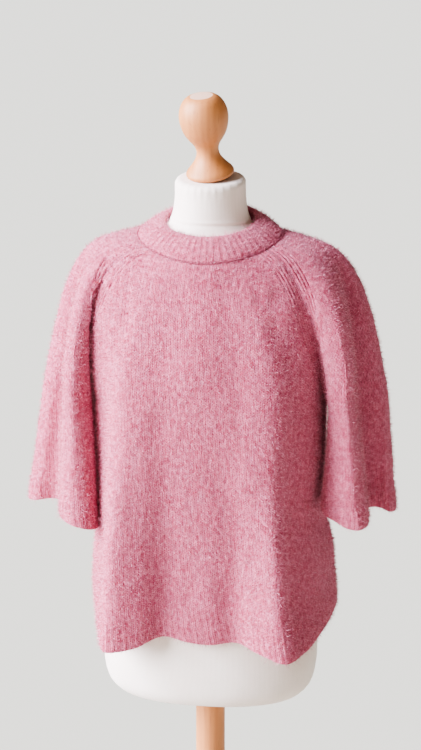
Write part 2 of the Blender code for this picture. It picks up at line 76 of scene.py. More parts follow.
def add(tree, kind, inputs={}, **settings):
    """Adds a node with its settings. Each input gets a value, or the node or socket feeding it."""
    made = tree.nodes.new(kind)
    for name, value in settings.items():
        setattr(made, name, value)
    for name, value in inputs.items():
        if isinstance(value, bpy.types.Node):
            value = value.outputs[0]
        if isinstance(value, bpy.types.NodeSocket):
            tree.links.new(value, made.inputs[name])
        else:
            made.inputs[name].default_value = value
    return made


def new_material(name):
    """A material with its node tree and its shader."""
    made = bpy.data.materials.new(name)
    made.use_nodes = True
    return made, made.node_tree, made.node_tree.nodes["Principled BSDF"]


def spline(keys, values, at):
    """Values at some places on a smooth curve through all of its rising keys."""
    keys = np.asarray(keys, float)
    values = np.asarray(values, float)
    at = np.asarray(at, float)
    slopes = np.gradient(values, keys, axis=0)
    span = np.clip(np.searchsorted(keys, at, side="right") - 1, 0, len(keys) - 2)
    width = keys[span + 1] - keys[span]
    u = (at - keys[span]) / width
    if values.ndim > 1:
        u = u[..., None]
        width = width[..., None]
    start = (1 + 2 * u) * (1 - u) ** 2 * values[span] + u * (1 - u) ** 2 * width * slopes[span]
    end = u * u * (3 - 2 * u) * values[span + 1] + u * u * (u - 1) * width * slopes[span + 1]
    return start + end


def finished(name, points, faces, materials, sharp=50):
    """A piece made of points in millimetres and faces, which rides on the part's one body."""
    mesh = bpy.data.meshes.new(name)
    mesh.from_pydata((np.asarray(points) * MM).tolist(), [], faces)
    mesh.shade_smooth()
    mesh.set_sharp_from_angle(angle=math.radians(sharp))
    made = bpy.data.objects.new(name, mesh)
    bpy.context.scene.collection.objects.link(made)
    for material in materials:
        mesh.materials.append(material)
    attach(made, "root")
    return made


def round_body(name, rows, materials, sharp=50):
    """A closed body through rings from its top to its bottom, each end closed on its middle."""
    count = len(rows[0])
    points = np.vstack([rows[0].mean(axis=0)[None], *rows, rows[-1].mean(axis=0)[None]])
    faces = []
    for j in range(count):
        k = (j + 1) % count
        faces.append((0, 1 + j, 1 + k))
        for i in range(len(rows) - 1):
            upper, lower = 1 + i * count, 1 + (i + 1) * count
            faces.append((upper + j, lower + j, lower + k, upper + k))
        last = 1 + (len(rows) - 1) * count
        faces.append((last + j, len(points) - 1, last + k))
    return finished(name, points, faces, materials, sharp)


Section = namedtuple("Section", "z half_width front back squareness")
FORM_SECTIONS = (
    Section(661, 126, -82, 85, 2.3), Section(663, 138, -91, 95, 2.3),
    Section(670, 150, -100, 105, 2.3), Section(684, 159, -107, 113, 2.3),
    Section(702, 163, -110, 116, 2.3), Section(750, 165, -112, 119, 2.3),
    Section(800, 164, -115, 121, 2.3), Section(860, 152, -109, 112, 2.3),
    Section(930, 127, -97, 92, 2.2), Section(990, 116, -92, 80, 2.2),
    Section(1060, 136, -113, 90, 2.3), Section(1130, 160, -128, 99, 2.4),
    Section(1200, 174, -122, 101, 2.3), Section(1270, 182, -107, 97, 2.2),
    Section(1312, 179, -92, 90, 2.1), Section(1338, 163, -78, 82, 2.0),
    Section(1353, 138, -69, 75, 2.0), Section(1364, 105, -61, 68, 2.0),
    Section(1375, 78, -57, 64, 2.0), Section(1386, 61, -54, 59, 2.0),
    Section(1397, 56, -53, 56, 2.0), Section(1417, 52.4, -52, 52.5, 2.0),
    Section(1442, 51.5, -51.5, 51.5, 2.0),
)
FORM_CORNERS = 144
FORM_STEP = 6              # height between the sections that are worked out
NECK_TOP = 1450
NECK_EDGE = 8              # rounding at the neck's cap
CAP_TILT = 9               # the cap slopes down to the front by this many degrees
NECK_CREASE = 1387         # height of the crease round the neck's foot
GATHERS = 26               # small gathers of the cover round the cap


def form_ring(section, tilt, inset=0.0):
    turn = np.arange(FORM_CORNERS) * math.tau / FORM_CORNERS
    power = 2 / section.squareness
    near_cap = np.clip((section.z - 1425) / 20, 0, 1) * (1 if inset < NECK_EDGE else 0)
    gather = 1 + near_cap * 0.006 * np.sin(GATHERS * turn + 2 * np.sin(3 * turn))
    crease = 1 + 0.014 * math.exp(-((section.z - NECK_CREASE - 4) / 2.2) ** 2)
    crease -= 0.012 * math.exp(-((section.z - NECK_CREASE + 1) / 1.8) ** 2)
    across = (section.half_width - inset) * np.sign(np.sin(turn)) * np.abs(np.sin(turn)) ** power
    ahead = np.cos(turn)
    depth = np.where(ahead > 0, section.front + inset, section.back - inset)
    along = depth * np.abs(ahead) ** power
    height = section.z + math.tan(math.radians(tilt)) * along
    return np.stack([across * gather * crease, along * gather * crease, height], axis=1)


form_rows = []
cap = FORM_SECTIONS[-1]._replace(z=NECK_TOP)
for inset in (45, 35, 25, 16):
    form_rows.append(form_ring(cap, CAP_TILT, inset))
for turn in np.radians((90, 72, 54, 36, 18, 0)):
    edge = cap._replace(z=NECK_TOP - NECK_EDGE * (1 - math.sin(turn)))
    form_rows.append(form_ring(edge, CAP_TILT, NECK_EDGE * (1 - math.cos(turn))))
form_heights = np.array([s.z for s in FORM_SECTIONS])
form_sizes = np.array([s[1:] for s in FORM_SECTIONS])
steps = np.concatenate([np.arange(1438, 1400, -5), np.arange(1398, 1372, -1.5),
                        np.arange(1371, 690, -FORM_STEP), (684, 678, 672, 668, 665, 663, 661)])
for height in steps:
    tilt = CAP_TILT * np.clip((height - 1405) / 37, 0, 1)
    form_rows.append(form_ring(Section(height, *spline(form_heights, form_sizes, height)), tilt))
for share in (0.96, 0.7, 0.35):
    form_rows.append(form_rows[-1] * (share, share, 1))

# Cream cotton jersey, finely knitted and stretched: matt, with a faint soft sheen, and hardly a
# stitch to be seen. The real wales are 0.9 mm apart; they are drawn at 1.8 mm so that they show.
jersey, tree, shader = new_material("cream cotton jersey")
place = add(tree, "ShaderNodeTexCoord").outputs["Object"]
wales = add(tree, "ShaderNodeTexWave", {"Vector": place, "Scale": 175.0, "Distortion": 1.5,
                                        "Detail": 1.0, "Detail Scale": 3.0},
            bands_direction="X")
fuzz = add(tree, "ShaderNodeTexNoise", {"Vector": place, "Scale": 650.0, "Detail": 2.0})
blotch = add(tree, "ShaderNodeTexNoise", {"Vector": place, "Scale": 14.0, "Detail": 3.0})
tone = add(tree, "ShaderNodeMapRange", {"Value": blotch, "From Min": 0.3, "From Max": 0.7})
cream = add(tree, "ShaderNodeMix", {0: tone, 6: linear("#E4D2C6"), 7: linear("#EFDFD5")},
            data_type="RGBA")
tree.links.new(cream.outputs[2], shader.inputs["Base Color"])
relief = add(tree, "ShaderNodeMath", {0: wales.outputs["Fac"], 1: fuzz.outputs[0]},
             operation="ADD")
bump = add(tree, "ShaderNodeBump", {"Height": relief, "Strength": 0.22, "Distance": 0.0006})
tree.links.new(bump.outputs[0], shader.inputs["Normal"])
shader.inputs["Roughness"].default_value = 0.85
shader.inputs["Sheen Weight"].default_value = 0.15
shader.inputs["Sheen Roughness"].default_value = 0.5

torso = round_body("torso", form_rows, [jersey], 40)
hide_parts("form_torso")
torso_tree = BVHTree.FromObject(torso, bpy.context.evaluated_depsgraph_get())

# ---------------------------------------------------------------- finial, pole and base
# Three turnings of steamed beech, sanded and waxed. The finial's spigot is loose in the cap, so
# it leans a little; the pole is tenoned into the torso above and the disc below.

FINIAL_OUTLINE = (
    (16.5, 119.5), (20, 118.5), (27, 113.5), (32.5, 104.5), (35.3, 94), (35.5, 85.5), (34, 76),
    (30.8, 66), (25.6, 57), (19.8, 49), (16.8, 42), (16.2, 36), (18, 28.5), (22.8, 20.5),
    (28.6, 13.5), (33, 8.5), (35, 4.8), (34.5, 1.8), (32.5, 0),
)
FINIAL_LEAN = (-4.5, -5)
STEM_GAP = 0.3
TURNED_CORNERS = 96


def turned_rows(outline):
    turn = np.arange(TURNED_CORNERS) * math.tau / TURNED_CORNERS
    return [np.stack([r * np.cos(turn), r * np.sin(turn), np.full(TURNED_CORNERS, z)], axis=1)
            for r, z in outline]


def fine_outline(outline, count):
    """The outline with its curves smoothed, and its end points kept."""
    outline = np.array(outline, float)
    along = np.concatenate([[0], np.cumsum(np.linalg.norm(np.diff(outline, axis=0), axis=1))])
    return spline(along, outline, np.linspace(0, along[-1], count))


# Steamed beech, waxed: pinkish tan and close-grained, with short darker flecks along the grain
# and faint growth bands, under a soft silky gloss.
beech, tree, shader = new_material("waxed steamed beech")
place = add(tree, "ShaderNodeTexCoord").outputs["Object"]
grain_place = add(tree, "ShaderNodeMapping", {"Vector": place, "Scale": (420.0, 420.0, 38.0)})
flecks = add(tree, "ShaderNodeTexNoise", {"Vector": grain_place, "Scale": 1.0, "Detail": 2.0})
fleck_mask = add(tree, "ShaderNodeMapRange", {"Value": flecks, "From Min": 0.6, "From Max": 0.76})
band_place = add(tree, "ShaderNodeMapping", {"Vector": place, "Scale": (1.0, 1.0, 0.12)})
bands = add(tree, "ShaderNodeTexWave", {"Vector": band_place, "Scale": 34.0, "Distortion": 5.0,
                                        "Detail": 2.0, "Detail Scale": 1.4},
            bands_direction="X")
band_mask = add(tree, "ShaderNodeMath", {0: bands.outputs["Fac"], 1: 0.4}, operation="MULTIPLY")
heart = add(tree, "ShaderNodeMix", {0: band_mask, 6: linear("#BF7D49"), 7: linear("#AE6A3A")},
            data_type="RGBA")
fleck_share = add(tree, "ShaderNodeMath", {0: fleck_mask, 1: 0.35}, operation="MULTIPLY")
wood = add(tree, "ShaderNodeMix", {0: fleck_share, 6: heart.outputs[2], 7: linear("#84502C")},
           data_type="RGBA")
tree.links.new(wood.outputs[2], shader.inputs["Base Color"])
bump = add(tree, "ShaderNodeBump", {"Height": flecks, "Strength": 0.08, "Distance": 0.0003})
tree.links.new(bump.outputs[0], shader.inputs["Normal"])
shader.inputs["Roughness"].default_value = 0.55
shader.inputs["Coat Weight"].default_value = 0.05
shader.inputs["Coat Roughness"].default_value = 0.3

# The same beech cut across: paler, with fine rings and pores.
end_grain, tree, shader = new_material("beech end grain")
place = add(tree, "ShaderNodeTexCoord").outputs["Object"]
pores = add(tree, "ShaderNodeTexNoise", {"Vector": place, "Scale": 900.0, "Detail": 2.0})
pale = add(tree, "ShaderNodeMix", {0: pores, 6: linear("#C4957A"), 7: linear("#DCB9A3")},
           data_type="RGBA")
tree.links.new(pale.outputs[2], shader.inputs["Base Color"])
shader.inputs["Roughness"].default_value = 0.6

foot_radius = FINIAL_OUTLINE[-1][0]
upright = Vector((0, -math.sin(math.radians(CAP_TILT)), math.cos(math.radians(CAP_TILT))))
lean = Vector([math.tan(math.radians(angle)) for angle in FINIAL_LEAN] + [0])
axis = (upright + lean).normalized()
seat = Vector((0, 0, NECK_TOP)) + upright * (STEM_GAP + foot_radius * math.sin(axis.angle(upright)))
stand = Matrix.Translation(seat) @ Vector((0, 0, 1)).rotation_difference(axis).to_matrix().to_4x4()
turn_matrix = np.array(stand)
shoulder = [FINIAL_OUTLINE[0], (17.3, 119.4)]
finial_rows = turned_rows(shoulder + list(fine_outline(FINIAL_OUTLINE, 64)[1:]))
finial_rows = [row @ turn_matrix[:3, :3].T + turn_matrix[:3, 3] for row in finial_rows]
finial = round_body("finial_knob", finial_rows, [beech, end_grain], 28)
for index in range(0, len(finial.data.polygons), len(finial_rows) + 1):
    finial.data.polygons[index].material_index = 1
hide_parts("finial")

BASE_HEIGHT = 30
BASE_RADIUS = 180
POLE_RADIUS = 22.5
pole_ends = (FORM_SECTIONS[0].z - STEM_GAP, BASE_HEIGHT + STEM_GAP)
pole_outline = [(POLE_RADIUS, height) for height in np.linspace(*pole_ends, 9)]
pole = round_body("pole_turning", turned_rows(pole_outline), [beech])
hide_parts("pole")

round_edge = [(BASE_RADIUS - 6 * (1 - math.sin(turn)), BASE_HEIGHT - 6 * (1 - math.cos(turn)))
              for turn in np.radians((0, 18, 36, 54, 72, 90))]
base_outline = [(60, BASE_HEIGHT), (120, BASE_HEIGHT), *round_edge,
                (BASE_RADIUS, 2), (BASE_RADIUS - 2, 0), (90, 0)]
base = round_body("base_disc", turned_rows(base_outline), [beech], 40)
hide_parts("base")

# ---------------------------------------------------------------- front, back and sleeves
# Four pieces of stocking stitch, each knitted in one with its 1x1 rib: wales 5 to 6 mm apart,
# courses 3.7 mm high, and wales lost beside each raglan band on the way up. They are linked
# together along the raglans and side seams, and hang in folds from the form's shoulders.

WALL = 1.6                 # the knit without its pile
INSET = 1.5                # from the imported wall's outer face to the knit under the pile
SEAM_GAP = 0.1
REST_GAP = 0.6
UNDERARM = 1131
BIND_OFF = 22
BIND_WALES = 9             # half wales along half of an underarm bind-off
BAND = 8                   # half wales in the fully fashioned band beside a raglan seam
CROTCH_X = 180
CROTCH_REACH = 13          # below the underarm, where the sides come back to their own form
HEM = 775
HEM_RIB = 57
HEM_RIB_STEP = 5.5         # height between two rows of the hem ribbing
CUFF = 948
CUFF_RIB = 35
CUFF_RIB_STEP = 4.8
LAST_ROW = 1.6             # the row above the very edge, which rounds it
COURSE = 3.7
YOKE_COURSES = 64
RIB_RAISE = 1.1
WALE_RAISE = 0.12
STITCH_DIP = 2.0           # for the gaps between stitches, which the nap leaves open
BAND_RELIEF = 3.2          # the wales of the raglan bands stand out this many times as far
SEAM_SINK = 1.0            # the edges roll in towards a seam by this much
INNER_STEP = 4             # courses to one row of the plain inside
PANEL_HALF_WALES = 198
SLEEVE_HALF_WALES = 174
RAGLAN_FRONT = 55
RAGLAN_BACK = 130
BELOW_CUFFS = 900
RISING_HEIGHTS = (HEM, HEM + HEM_RIB, BELOW_CUFFS, 955, 1040, UNDERARM)

Fold = namedtuple("Fold", "angle underarm chest cuff below rib hem hem_z")
FRONT_FOLDS = (
    Fold(-90, 175, 171, 169, 178, 181, 173, 786),
    Fold(-70, 174, 172, 172, 175, 180, 176, 782),
    Fold(-56, 170, 174, 181, 184, 188, 187, 770),
    Fold(-43, 170, 176, 186, 192, 197, 203, 764),
    Fold(-33, 156, 157, 159, 162, 165, 171, 770),
    Fold(-23, 142, 138, 134, 132, 131, 134, 784),
    Fold(-8, 134, 129, 126, 124, 124, 128, 778),
    Fold(8, 134, 129, 125, 124, 124, 127, 775),
    Fold(24, 142, 137, 132, 130, 129, 130, 778),
    Fold(32, 154, 150, 146, 148, 154, 168, 772),
    Fold(41, 167, 165, 168, 175, 187, 202, 763),
    Fold(54, 169, 165, 165, 173, 182, 196, 768),
    Fold(70, 174, 171, 166, 175, 182, 187, 776),
)
BACK_FOLDS = (
    Fold(90, 175, 174, 170, 182, 187, 188, 782),
    Fold(112, 172, 168, 172, 190, 197, 203, 784),
    Fold(134, 158, 160, 170, 181, 191, 201, 771),
    Fold(146, 142, 143, 150, 157, 165, 174, 776),
    Fold(158, 126, 127, 133, 138, 142, 147, 785),
    Fold(176, 114, 116, 121, 128, 134, 138, 778),
    Fold(196, 120, 122, 126, 131, 136, 140, 782),
    Fold(210, 136, 138, 143, 149, 156, 164, 776),
    Fold(222, 152, 155, 163, 172, 182, 193, 768),
    Fold(246, 170, 166, 170, 182, 188, 188, 782),
)
Lobe = namedtuple("Lobe", "top_x top_y cuff_x cuff_y cuff_z")
RIGHT_SLEEVE = (
    Lobe(183, 0, 172, 14, 973), Lobe(183, -22, 171, -16, 970), Lobe(179, -46, 170, -44, 962),
    Lobe(180, -66, 193, -66, 954), Lobe(192, -82, 212, -80, 949), Lobe(210, -86, 228, -83, 948),
    Lobe(221, -70, 241, -68, 949), Lobe(223, -42, 243, -34, 953), Lobe(226, -18, 241, 2, 957),
    Lobe(240, -9, 253, 9, 955), Lobe(254, -2, 268, 8, 950), Lobe(264, 16, 280, 28, 946),
    Lobe(259, 44, 275, 58, 947), Lobe(236, 68, 250, 84, 950), Lobe(206, 80, 210, 98, 957),
    Lobe(187, 62, 168, 87, 968), Lobe(183, 22, 166, 50, 974),
)
LEFT_SLEEVE = (
    Lobe(-183, 0, -172, 14, 954), Lobe(-183, -22, -170, -28, 948),
    Lobe(-175, -48, -161, -64, 941), Lobe(-165, -68, -153, -98, 940),
    Lobe(-173, -86, -165, -119, 944), Lobe(-190, -98, -188, -121, 949),
    Lobe(-206, -90, -209, -103, 953), Lobe(-211, -66, -219, -66, 953),
    Lobe(-212, -36, -224, -22, 954), Lobe(-221, -15, -244, -8, 953),
    Lobe(-241, -8, -269, -8, 949), Lobe(-258, 10, -286, 9, 946),
    Lobe(-254, 40, -281, 48, 947), Lobe(-232, 68, -254, 84, 949),
    Lobe(-207, 80, -222, 95, 951), Lobe(-190, 62, -198, 82, 955),
    Lobe(-183, 22, -175, 48, 955),
)
Handle = namedtuple("Handle", "out_x out_y out_z up_x up_y up_z")
RIGHT_FRONT_SEAM = Handle(50, -20, -8, -14, -76, 99)
LEFT_FRONT_SEAM = Handle(-68, -14, -6, -8, -72, 99)
BACK_SEAM = Handle(56, 20, -8, 2, 70, 105)
FRONT_MID = Handle(24, -16, -36, 0, 0, 85)
FRONT_MIDDLE = Handle(0, -16, -42, 0, -2, 80)
BACK_MID = Handle(24, 22, -30, 0, 2, 90)
BACK_MIDDLE = Handle(0, 24, -36, 0, 4, 85)
SLEEVE_FRONT = Handle(76, -13, -7, -6, -5, 150)
SLEEVE_TOP = Handle(98, 0, -10, -36, -2, 216)
SLEEVE_BACK = Handle(74, 15, -9, -24, 25, 150)
Oval = namedtuple("Oval", "half_width half_depth middle_y front_z side_z back_z")
NECK_SEAM = Oval(106, 89.5, -5.5, 1341, 1371, 1369)

# Creases of the hanging cloth, seen from the front: the middle's place, the direction of its run
# in degrees from level, its length, width and height above the cloth (below it where negative).
Crease = namedtuple("Crease", "x z turn length width raise_mm")
FRONT_CREASES = (
    Crease(106, 1296, 78, 56, 11, -1.6), Crease(94, 1302, 80, 40, 7, 1.6),
    Crease(120, 1262, 82, 60, 10, 2.0), Crease(110, 1246, 84, 50, 8, -2.0),
    Crease(84, 1290, 70, 34, 8, -1.5), Crease(132, 1218, 84, 70, 12, -1.8),
    Crease(-96, 1292, 100, 40, 9, 1.5), Crease(-108, 1262, 96, 52, 9, -1.6),
    Crease(-132, 1210, 94, 90, 10, 1.5), Crease(-120, 1090, 91, 120, 8, -1.2),
    Crease(-134, 1030, 92, 150, 9, 1.4), Crease(66, 1040, 97, 190, 22, 2.4),
    Crease(-160, 1060, 90, 300, 8, 3.5),
    Crease(34, 1010, 98, 170, 18, -1.8), Crease(68, 912, 80, 14, 5, 1.8),
    Crease(74, 906, 96, 12, 4, -1.6), Crease(-54, 1110, 62, 140, 20, -1.8),
    Crease(-20, 1180, 58, 110, 24, 1.6), Crease(10, 860, 93, 90, 14, 1.6),
    Crease(-16, 850, 91, 80, 11, -1.3), Crease(150, 990, 88, 130, 14, -1.5),
    Crease(40, 838, 96, 70, 9, -1.4), Crease(128, 1120, 86, 90, 16, 1.5),
)
BACK_CREASES = (
    Crease(-110, 1290, 100, 46, 9, -2.2), Crease(-94, 1296, 98, 40, 8, 1.6),
    Crease(104, 1288, 80, 50, 9, -2.0), Crease(120, 1256, 82, 60, 10, 1.8),
    Crease(-126, 1240, 96, 66, 10, 1.6), Crease(84, 1080, 95, 170, 20, 2.0),
    Crease(-60, 1060, 86, 180, 22, -2.0), Crease(-20, 980, 92, 150, 18, 1.8),
    Crease(50, 940, 88, 120, 16, -1.8), Crease(-100, 900, 94, 110, 14, 1.6),
    Crease(20, 1170, 64, 110, 22, -1.6), Crease(-30, 1210, 118, 90, 20, 1.4),
    Crease(130, 1010, 92, 130, 13, -1.6), Crease(-140, 1120, 88, 120, 12, -1.4),
    Crease(0, 850, 90, 80, 12, -1.4), Crease(70, 846, 94, 70, 10, 1.5),
)
SLEEVE_CREASES = (
    Crease(212, 1180, 96, 120, 12, 1.8), Crease(228, 1120, 98, 150, 10, -1.8),
    Crease(198, 1080, 94, 130, 11, -1.5), Crease(250, 1060, 97, 120, 12, 1.6),
    Crease(176, 1250, 60, 50, 10, -1.4), Crease(205, 1240, 110, 60, 12, 1.3),
    Crease(262, 1010, 96, 80, 9, -1.4), Crease(214, 1000, 93, 70, 9, 1.4),
)
SPAN_STEPS = 16            # fine steps from one fold or lobe to the next
RIPPLE_SIZE = 34           # the cloth's own unevenness: how wide its dents are, and how deep
RIPPLE = 0.7


def closed_curve(points):
    """A fine closed line through the points, with SPAN_STEPS steps from each to the next."""
    ring = np.vstack([points[-2:], points, points[:3]])
    keys = np.concatenate([[0], np.cumsum(np.linalg.norm(np.diff(ring, axis=0), axis=1))])
    spans = [np.linspace(keys[i + 2], keys[i + 3], SPAN_STEPS, endpoint=False)
             for i in range(len(points))]
    line = spline(keys, ring, np.concatenate(spans))
    return np.vstack([line, line[:1]])


def lengths_along(line):
    return np.concatenate([[0], np.cumsum(np.linalg.norm(np.diff(line, axis=0), axis=1))])


def walk(line, places):
    """The points at these lengths along a line."""
    along = lengths_along(line)
    return np.stack([np.interp(places, along, line[:, axis]) for axis in range(3)], axis=1)


def oval_points(oval, angles):
    """Points of a bent oval at some angles, in degrees from the front middle towards +X."""
    turn = np.radians(angles)
    ends = (oval.front_z + oval.back_z) / 2
    height = (ends + oval.side_z) / 2 + (ends - oval.side_z) / 2 * np.cos(2 * turn)
    height += (oval.front_z - oval.back_z) / 2 * np.cos(turn)
    across = oval.half_width * np.sin(turn)
    return np.stack([across, oval.middle_y - oval.half_depth * np.cos(turn), height], axis=1)


def body_ring(height):
    points = []
    for fold in FRONT_FOLDS + BACK_FOLDS:
        turn = math.radians(fold.angle)
        radius = spline(RISING_HEIGHTS, fold[6:0:-1], height)
        share = np.interp(-height, (-BELOW_CUFFS, -HEM - HEM_RIB), (0, 1))
        points.append((radius * math.sin(turn), -radius * math.cos(turn),
                       height + (fold.hem_z - HEM) * share))
    return closed_curve(np.array(points))


def front_line(height):
    return body_ring(height)[:len(FRONT_FOLDS) * SPAN_STEPS + 1]


def back_line(height):
    return body_ring(height)[len(FRONT_FOLDS) * SPAN_STEPS:]


def sleeve_line(lobes, height):
    share = (UNDERARM - height) / (UNDERARM - CUFF)
    points = []
    for lobe in lobes:
        shift = np.interp(-height, (-UNDERARM, -CUFF - CUFF_RIB), (0, 1)) * (lobe.cuff_z - CUFF)
        points.append((lobe.top_x + (lobe.cuff_x - lobe.top_x) * share,
                       lobe.top_y + (lobe.cuff_y - lobe.top_y) * share, height + shift))
    return closed_curve(np.array(points))


class Knit:
    """A knitted piece: its points, what each of them is, and the faces between its rows."""

    def __init__(self, name, flipped=False):
        self.name = name
        self.flipped = flipped
        self.blocks = []       # for each row: points, u, v, rib, seam, relief
        self.count = 0
        self.rows = []
        self.faces = []

    def row(self, points, u, v, rib=0.0, seam=0.0, relief=1.0, closed=False):
        """Adds a row: u counts wales, v courses, rib is a rib's height and seam the nearness of
        a seam, from 0 to 1, and relief how much the wales stand out. A closed row ends on its
        first point."""
        number = len(points) - closed
        columns = [np.broadcast_to(np.asarray(x, float), len(points))[:number]
                   for x in (u, v, rib, seam, relief)]
        self.blocks.append(np.column_stack([points[:number], *columns]))
        ids = np.arange(self.count, self.count + number)
        if closed:
            ids = np.append(ids, self.count)
        self.count += number
        self.rows.append(ids)
        return ids

    def strip(self, upper, lower, edge=0):
        """Faces between two rows. The edge columns go straight down, and what the lower row has
        more of fans out beside them."""
        parts = [(upper, lower)]
        if edge:
            parts = [(upper[:edge + 1], lower[:edge + 1]), (upper[edge:-edge], lower[edge:-edge]),
                     (upper[-edge - 1:], lower[-edge - 1:])]
        made = []
        for high, low in parts:
            left = (len(low) - len(high)) // 2
            last = left + len(high) - 1
            made += [(high[0], low[k], low[k + 1]) for k in range(left)]
            made += [(high[i], low[i + left], low[i + left + 1], high[i + 1])
                     for i in range(len(high) - 1)]
            made += [(high[-1], low[k], low[k + 1]) for k in range(last, len(low) - 1)]
        return [face[::-1] if self.flipped else face for face in made]


def knit(name, half_wales, line_at, bind_off, neckline, handles, body_heights, rib_heights,
         closed=False, flipped=False):
    """Knits a front, back or sleeve from its neckline down to its ribbed edge."""
    piece = Knit(name, flipped)
    line = line_at(UNDERARM)
    total = lengths_along(line)[-1]
    middle = half_wales // 2 - BIND_WALES - BAND - 1
    fine = np.linspace(0, 1, 161)
    start = neckline(fine)
    end = walk(line, BIND_OFF + fine * (total - 2 * BIND_OFF))
    end[[0, -1]] = bind_off[1], bind_off[2]
    bends = spline(np.linspace(0, 1, len(handles)), handles, fine)
    step = (total - 2 * BIND_OFF) / (half_wales - 2 * BIND_WALES)
    steps_band = np.arange(BAND + 1) * step
    band_u = (middle + 1 + BAND - np.arange(BAND + 1)) / 2
    near_seam = np.array([1, 0.3] + [0] * (BAND - 1))
    reached = 0
    yoke = []
    for course in range(YOKE_COURSES + 1):
        t = course / YOKE_COURSES
        curve = ((1 - t) ** 3 * start + 3 * t * (1 - t) ** 2 * (start + bends[:, :3])
                 + 3 * t * t * (1 - t) * (end + bends[:, 3:]) + t ** 3 * end)
        length = lengths_along(curve)[-1]
        inside = length / 2 - BAND * step
        reached = max(reached, min(middle, int(inside / step - 0.5)))
        if course == YOKE_COURSES:
            reached = middle
        pitch = min(step, inside / (reached + 0.6))
        regular = np.arange(-reached, reached + 1)
        places = np.concatenate([steps_band, length / 2 + regular * pitch,
                                 length - steps_band[::-1]])
        u = np.concatenate([-band_u, regular / 2, band_u[::-1]])
        seam = np.concatenate([near_seam, regular * 0.0, near_seam[::-1]])
        relief = np.ones(len(u))
        relief[:BAND + 1] = relief[-BAND - 1:] = BAND_RELIEF
        if course == 0:
            seam = np.maximum(seam, 0.9)
        if course == 1:
            seam = np.maximum(seam, 0.3)
        if course < YOKE_COURSES:
            yoke.append(piece.row(walk(curve, places), u, course, seam=seam, relief=relief))
        else:
            yoke_end = walk(curve, places)

    share = np.linspace(0, 1, BIND_WALES + 1)[:-1, None]
    left = np.array(bind_off[0]) * (1 - share) + np.array(bind_off[1]) * share
    right = (np.array(bind_off[3]) * (1 - share) + np.array(bind_off[2]) * share)[::-1]
    underarm = np.vstack([left, yoke_end, right])
    body_u = (np.arange(half_wales + 1) - half_wales // 2) / 2
    sides = np.zeros(half_wales + 1)
    if not closed:
        sides[[0, 1, -2, -1]] = 0.8, 0.25, 0.25, 0.8
    rounded = sides.copy()
    rounded[:BIND_WALES] = 1
    rounded[-BIND_WALES:] = 1
    rows = [piece.row(underarm, body_u, YOKE_COURSES, seam=rounded, closed=closed)]
    for upper, lower in zip(yoke, yoke[1:]):
        piece.faces += piece.strip(upper, lower, BAND)
    piece.faces += piece.strip(yoke[-1], rows[0][BIND_WALES:len(rows[0]) - BIND_WALES], BAND)

    pinned = lengths_along(underarm) / lengths_along(underarm)[-1]
    corner_shift = underarm - walk(line, pinned * total)
    even = np.linspace(0, 1, half_wales + 1)
    for height in body_heights:
        relaxed = min(1.0, (UNDERARM - height) / (UNDERARM - rib_heights[0]))
        line = line_at(height)
        places = (pinned + (even - pinned) * relaxed) * lengths_along(line)[-1]
        settle = corner_shift * max(0.0, 1 - (UNDERARM - height) / CROTCH_REACH)
        course = YOKE_COURSES + (UNDERARM - height) / COURSE
        rows.append(piece.row(walk(line, places) + settle, body_u, course, seam=sides,
                              closed=closed))
    crest = (np.arange(half_wales + 1) % 3 == 1).astype(float)
    for number, height in enumerate(rib_heights):
        line = line_at(height)
        course = YOKE_COURSES + (UNDERARM - height) / COURSE
        last = len(rib_heights) - 1 - number
        grown = min(1.0, number / 1.5) * (0.55 if last == 0 else 0.9 if last == 1 else 1)
        edge = np.maximum(sides, (1.0, 0.45)[last] if last < 2 else 0)
        rows.append(piece.row(walk(line, even * lengths_along(line)[-1]), body_u, course,
                              rib=crest * grown + 1e-3, seam=edge, closed=closed))
    for upper, lower in zip(rows, rows[1:]):
        piece.faces += piece.strip(upper, lower)

    # the plain inside has every fourth course, and each point of an open edge hangs on one of it
    kept_yoke = yoke[::INNER_STEP]
    kept_rows = rows[::INNER_STEP] + ([rows[-1]] if (len(rows) - 1) % INNER_STEP else [])
    piece.inner_faces = []
    for upper, lower in zip(kept_yoke, kept_yoke[1:]):
        piece.inner_faces += piece.strip(upper, lower, BAND)
    piece.inner_faces += piece.strip(kept_yoke[-1],
                                     rows[0][BIND_WALES:len(rows[0]) - BIND_WALES], BAND)
    for upper, lower in zip(kept_rows, kept_rows[1:]):
        piece.inner_faces += piece.strip(upper, lower)
    piece.hang = {}
    for number, ids in enumerate(yoke):
        keeper = yoke[number - number % INNER_STEP]
        piece.hang[ids[0]], piece.hang[ids[-1]] = keeper[0], keeper[-1]
    for number, ids in enumerate(rows):
        keeper = rows[number - number % INNER_STEP] if number < len(rows) - 1 else ids
        piece.hang[ids[0]], piece.hang[ids[-1]] = keeper[0], keeper[-1]
    for ids in (yoke[0], rows[0], rows[-1]):
        piece.hang.update(zip(ids, ids))
    piece.data = np.vstack(piece.blocks)
    piece.points = piece.data[:, :3]
    return piece


def mirrored(handle):
    return Handle(-handle.out_x, *handle[1:3], -handle.up_x, *handle[4:])


def underarm_points(side, first_y):
    return [(side * CROTCH_X, 0, UNDERARM), (side * CROTCH_X, first_y, UNDERARM)]


def make_panel(name, line_at, turn, first_angle, last_angle, handles):
    """A front (turn -1) or a back (turn 1)."""
    bind_off = underarm_points(turn, turn * BIND_OFF) + underarm_points(-turn, turn * BIND_OFF)[::-1]
    heights = np.arange(UNDERARM - COURSE, HEM + HEM_RIB, -COURSE)
    ribs = np.append(HEM + HEM_RIB - np.arange(0, HEM_RIB - 5, HEM_RIB_STEP), (HEM + LAST_ROW, HEM))
    return knit(name, PANEL_HALF_WALES, line_at, bind_off,
                lambda s: oval_points(NECK_SEAM, first_angle + (last_angle - first_angle) * s),
                handles, heights, ribs)


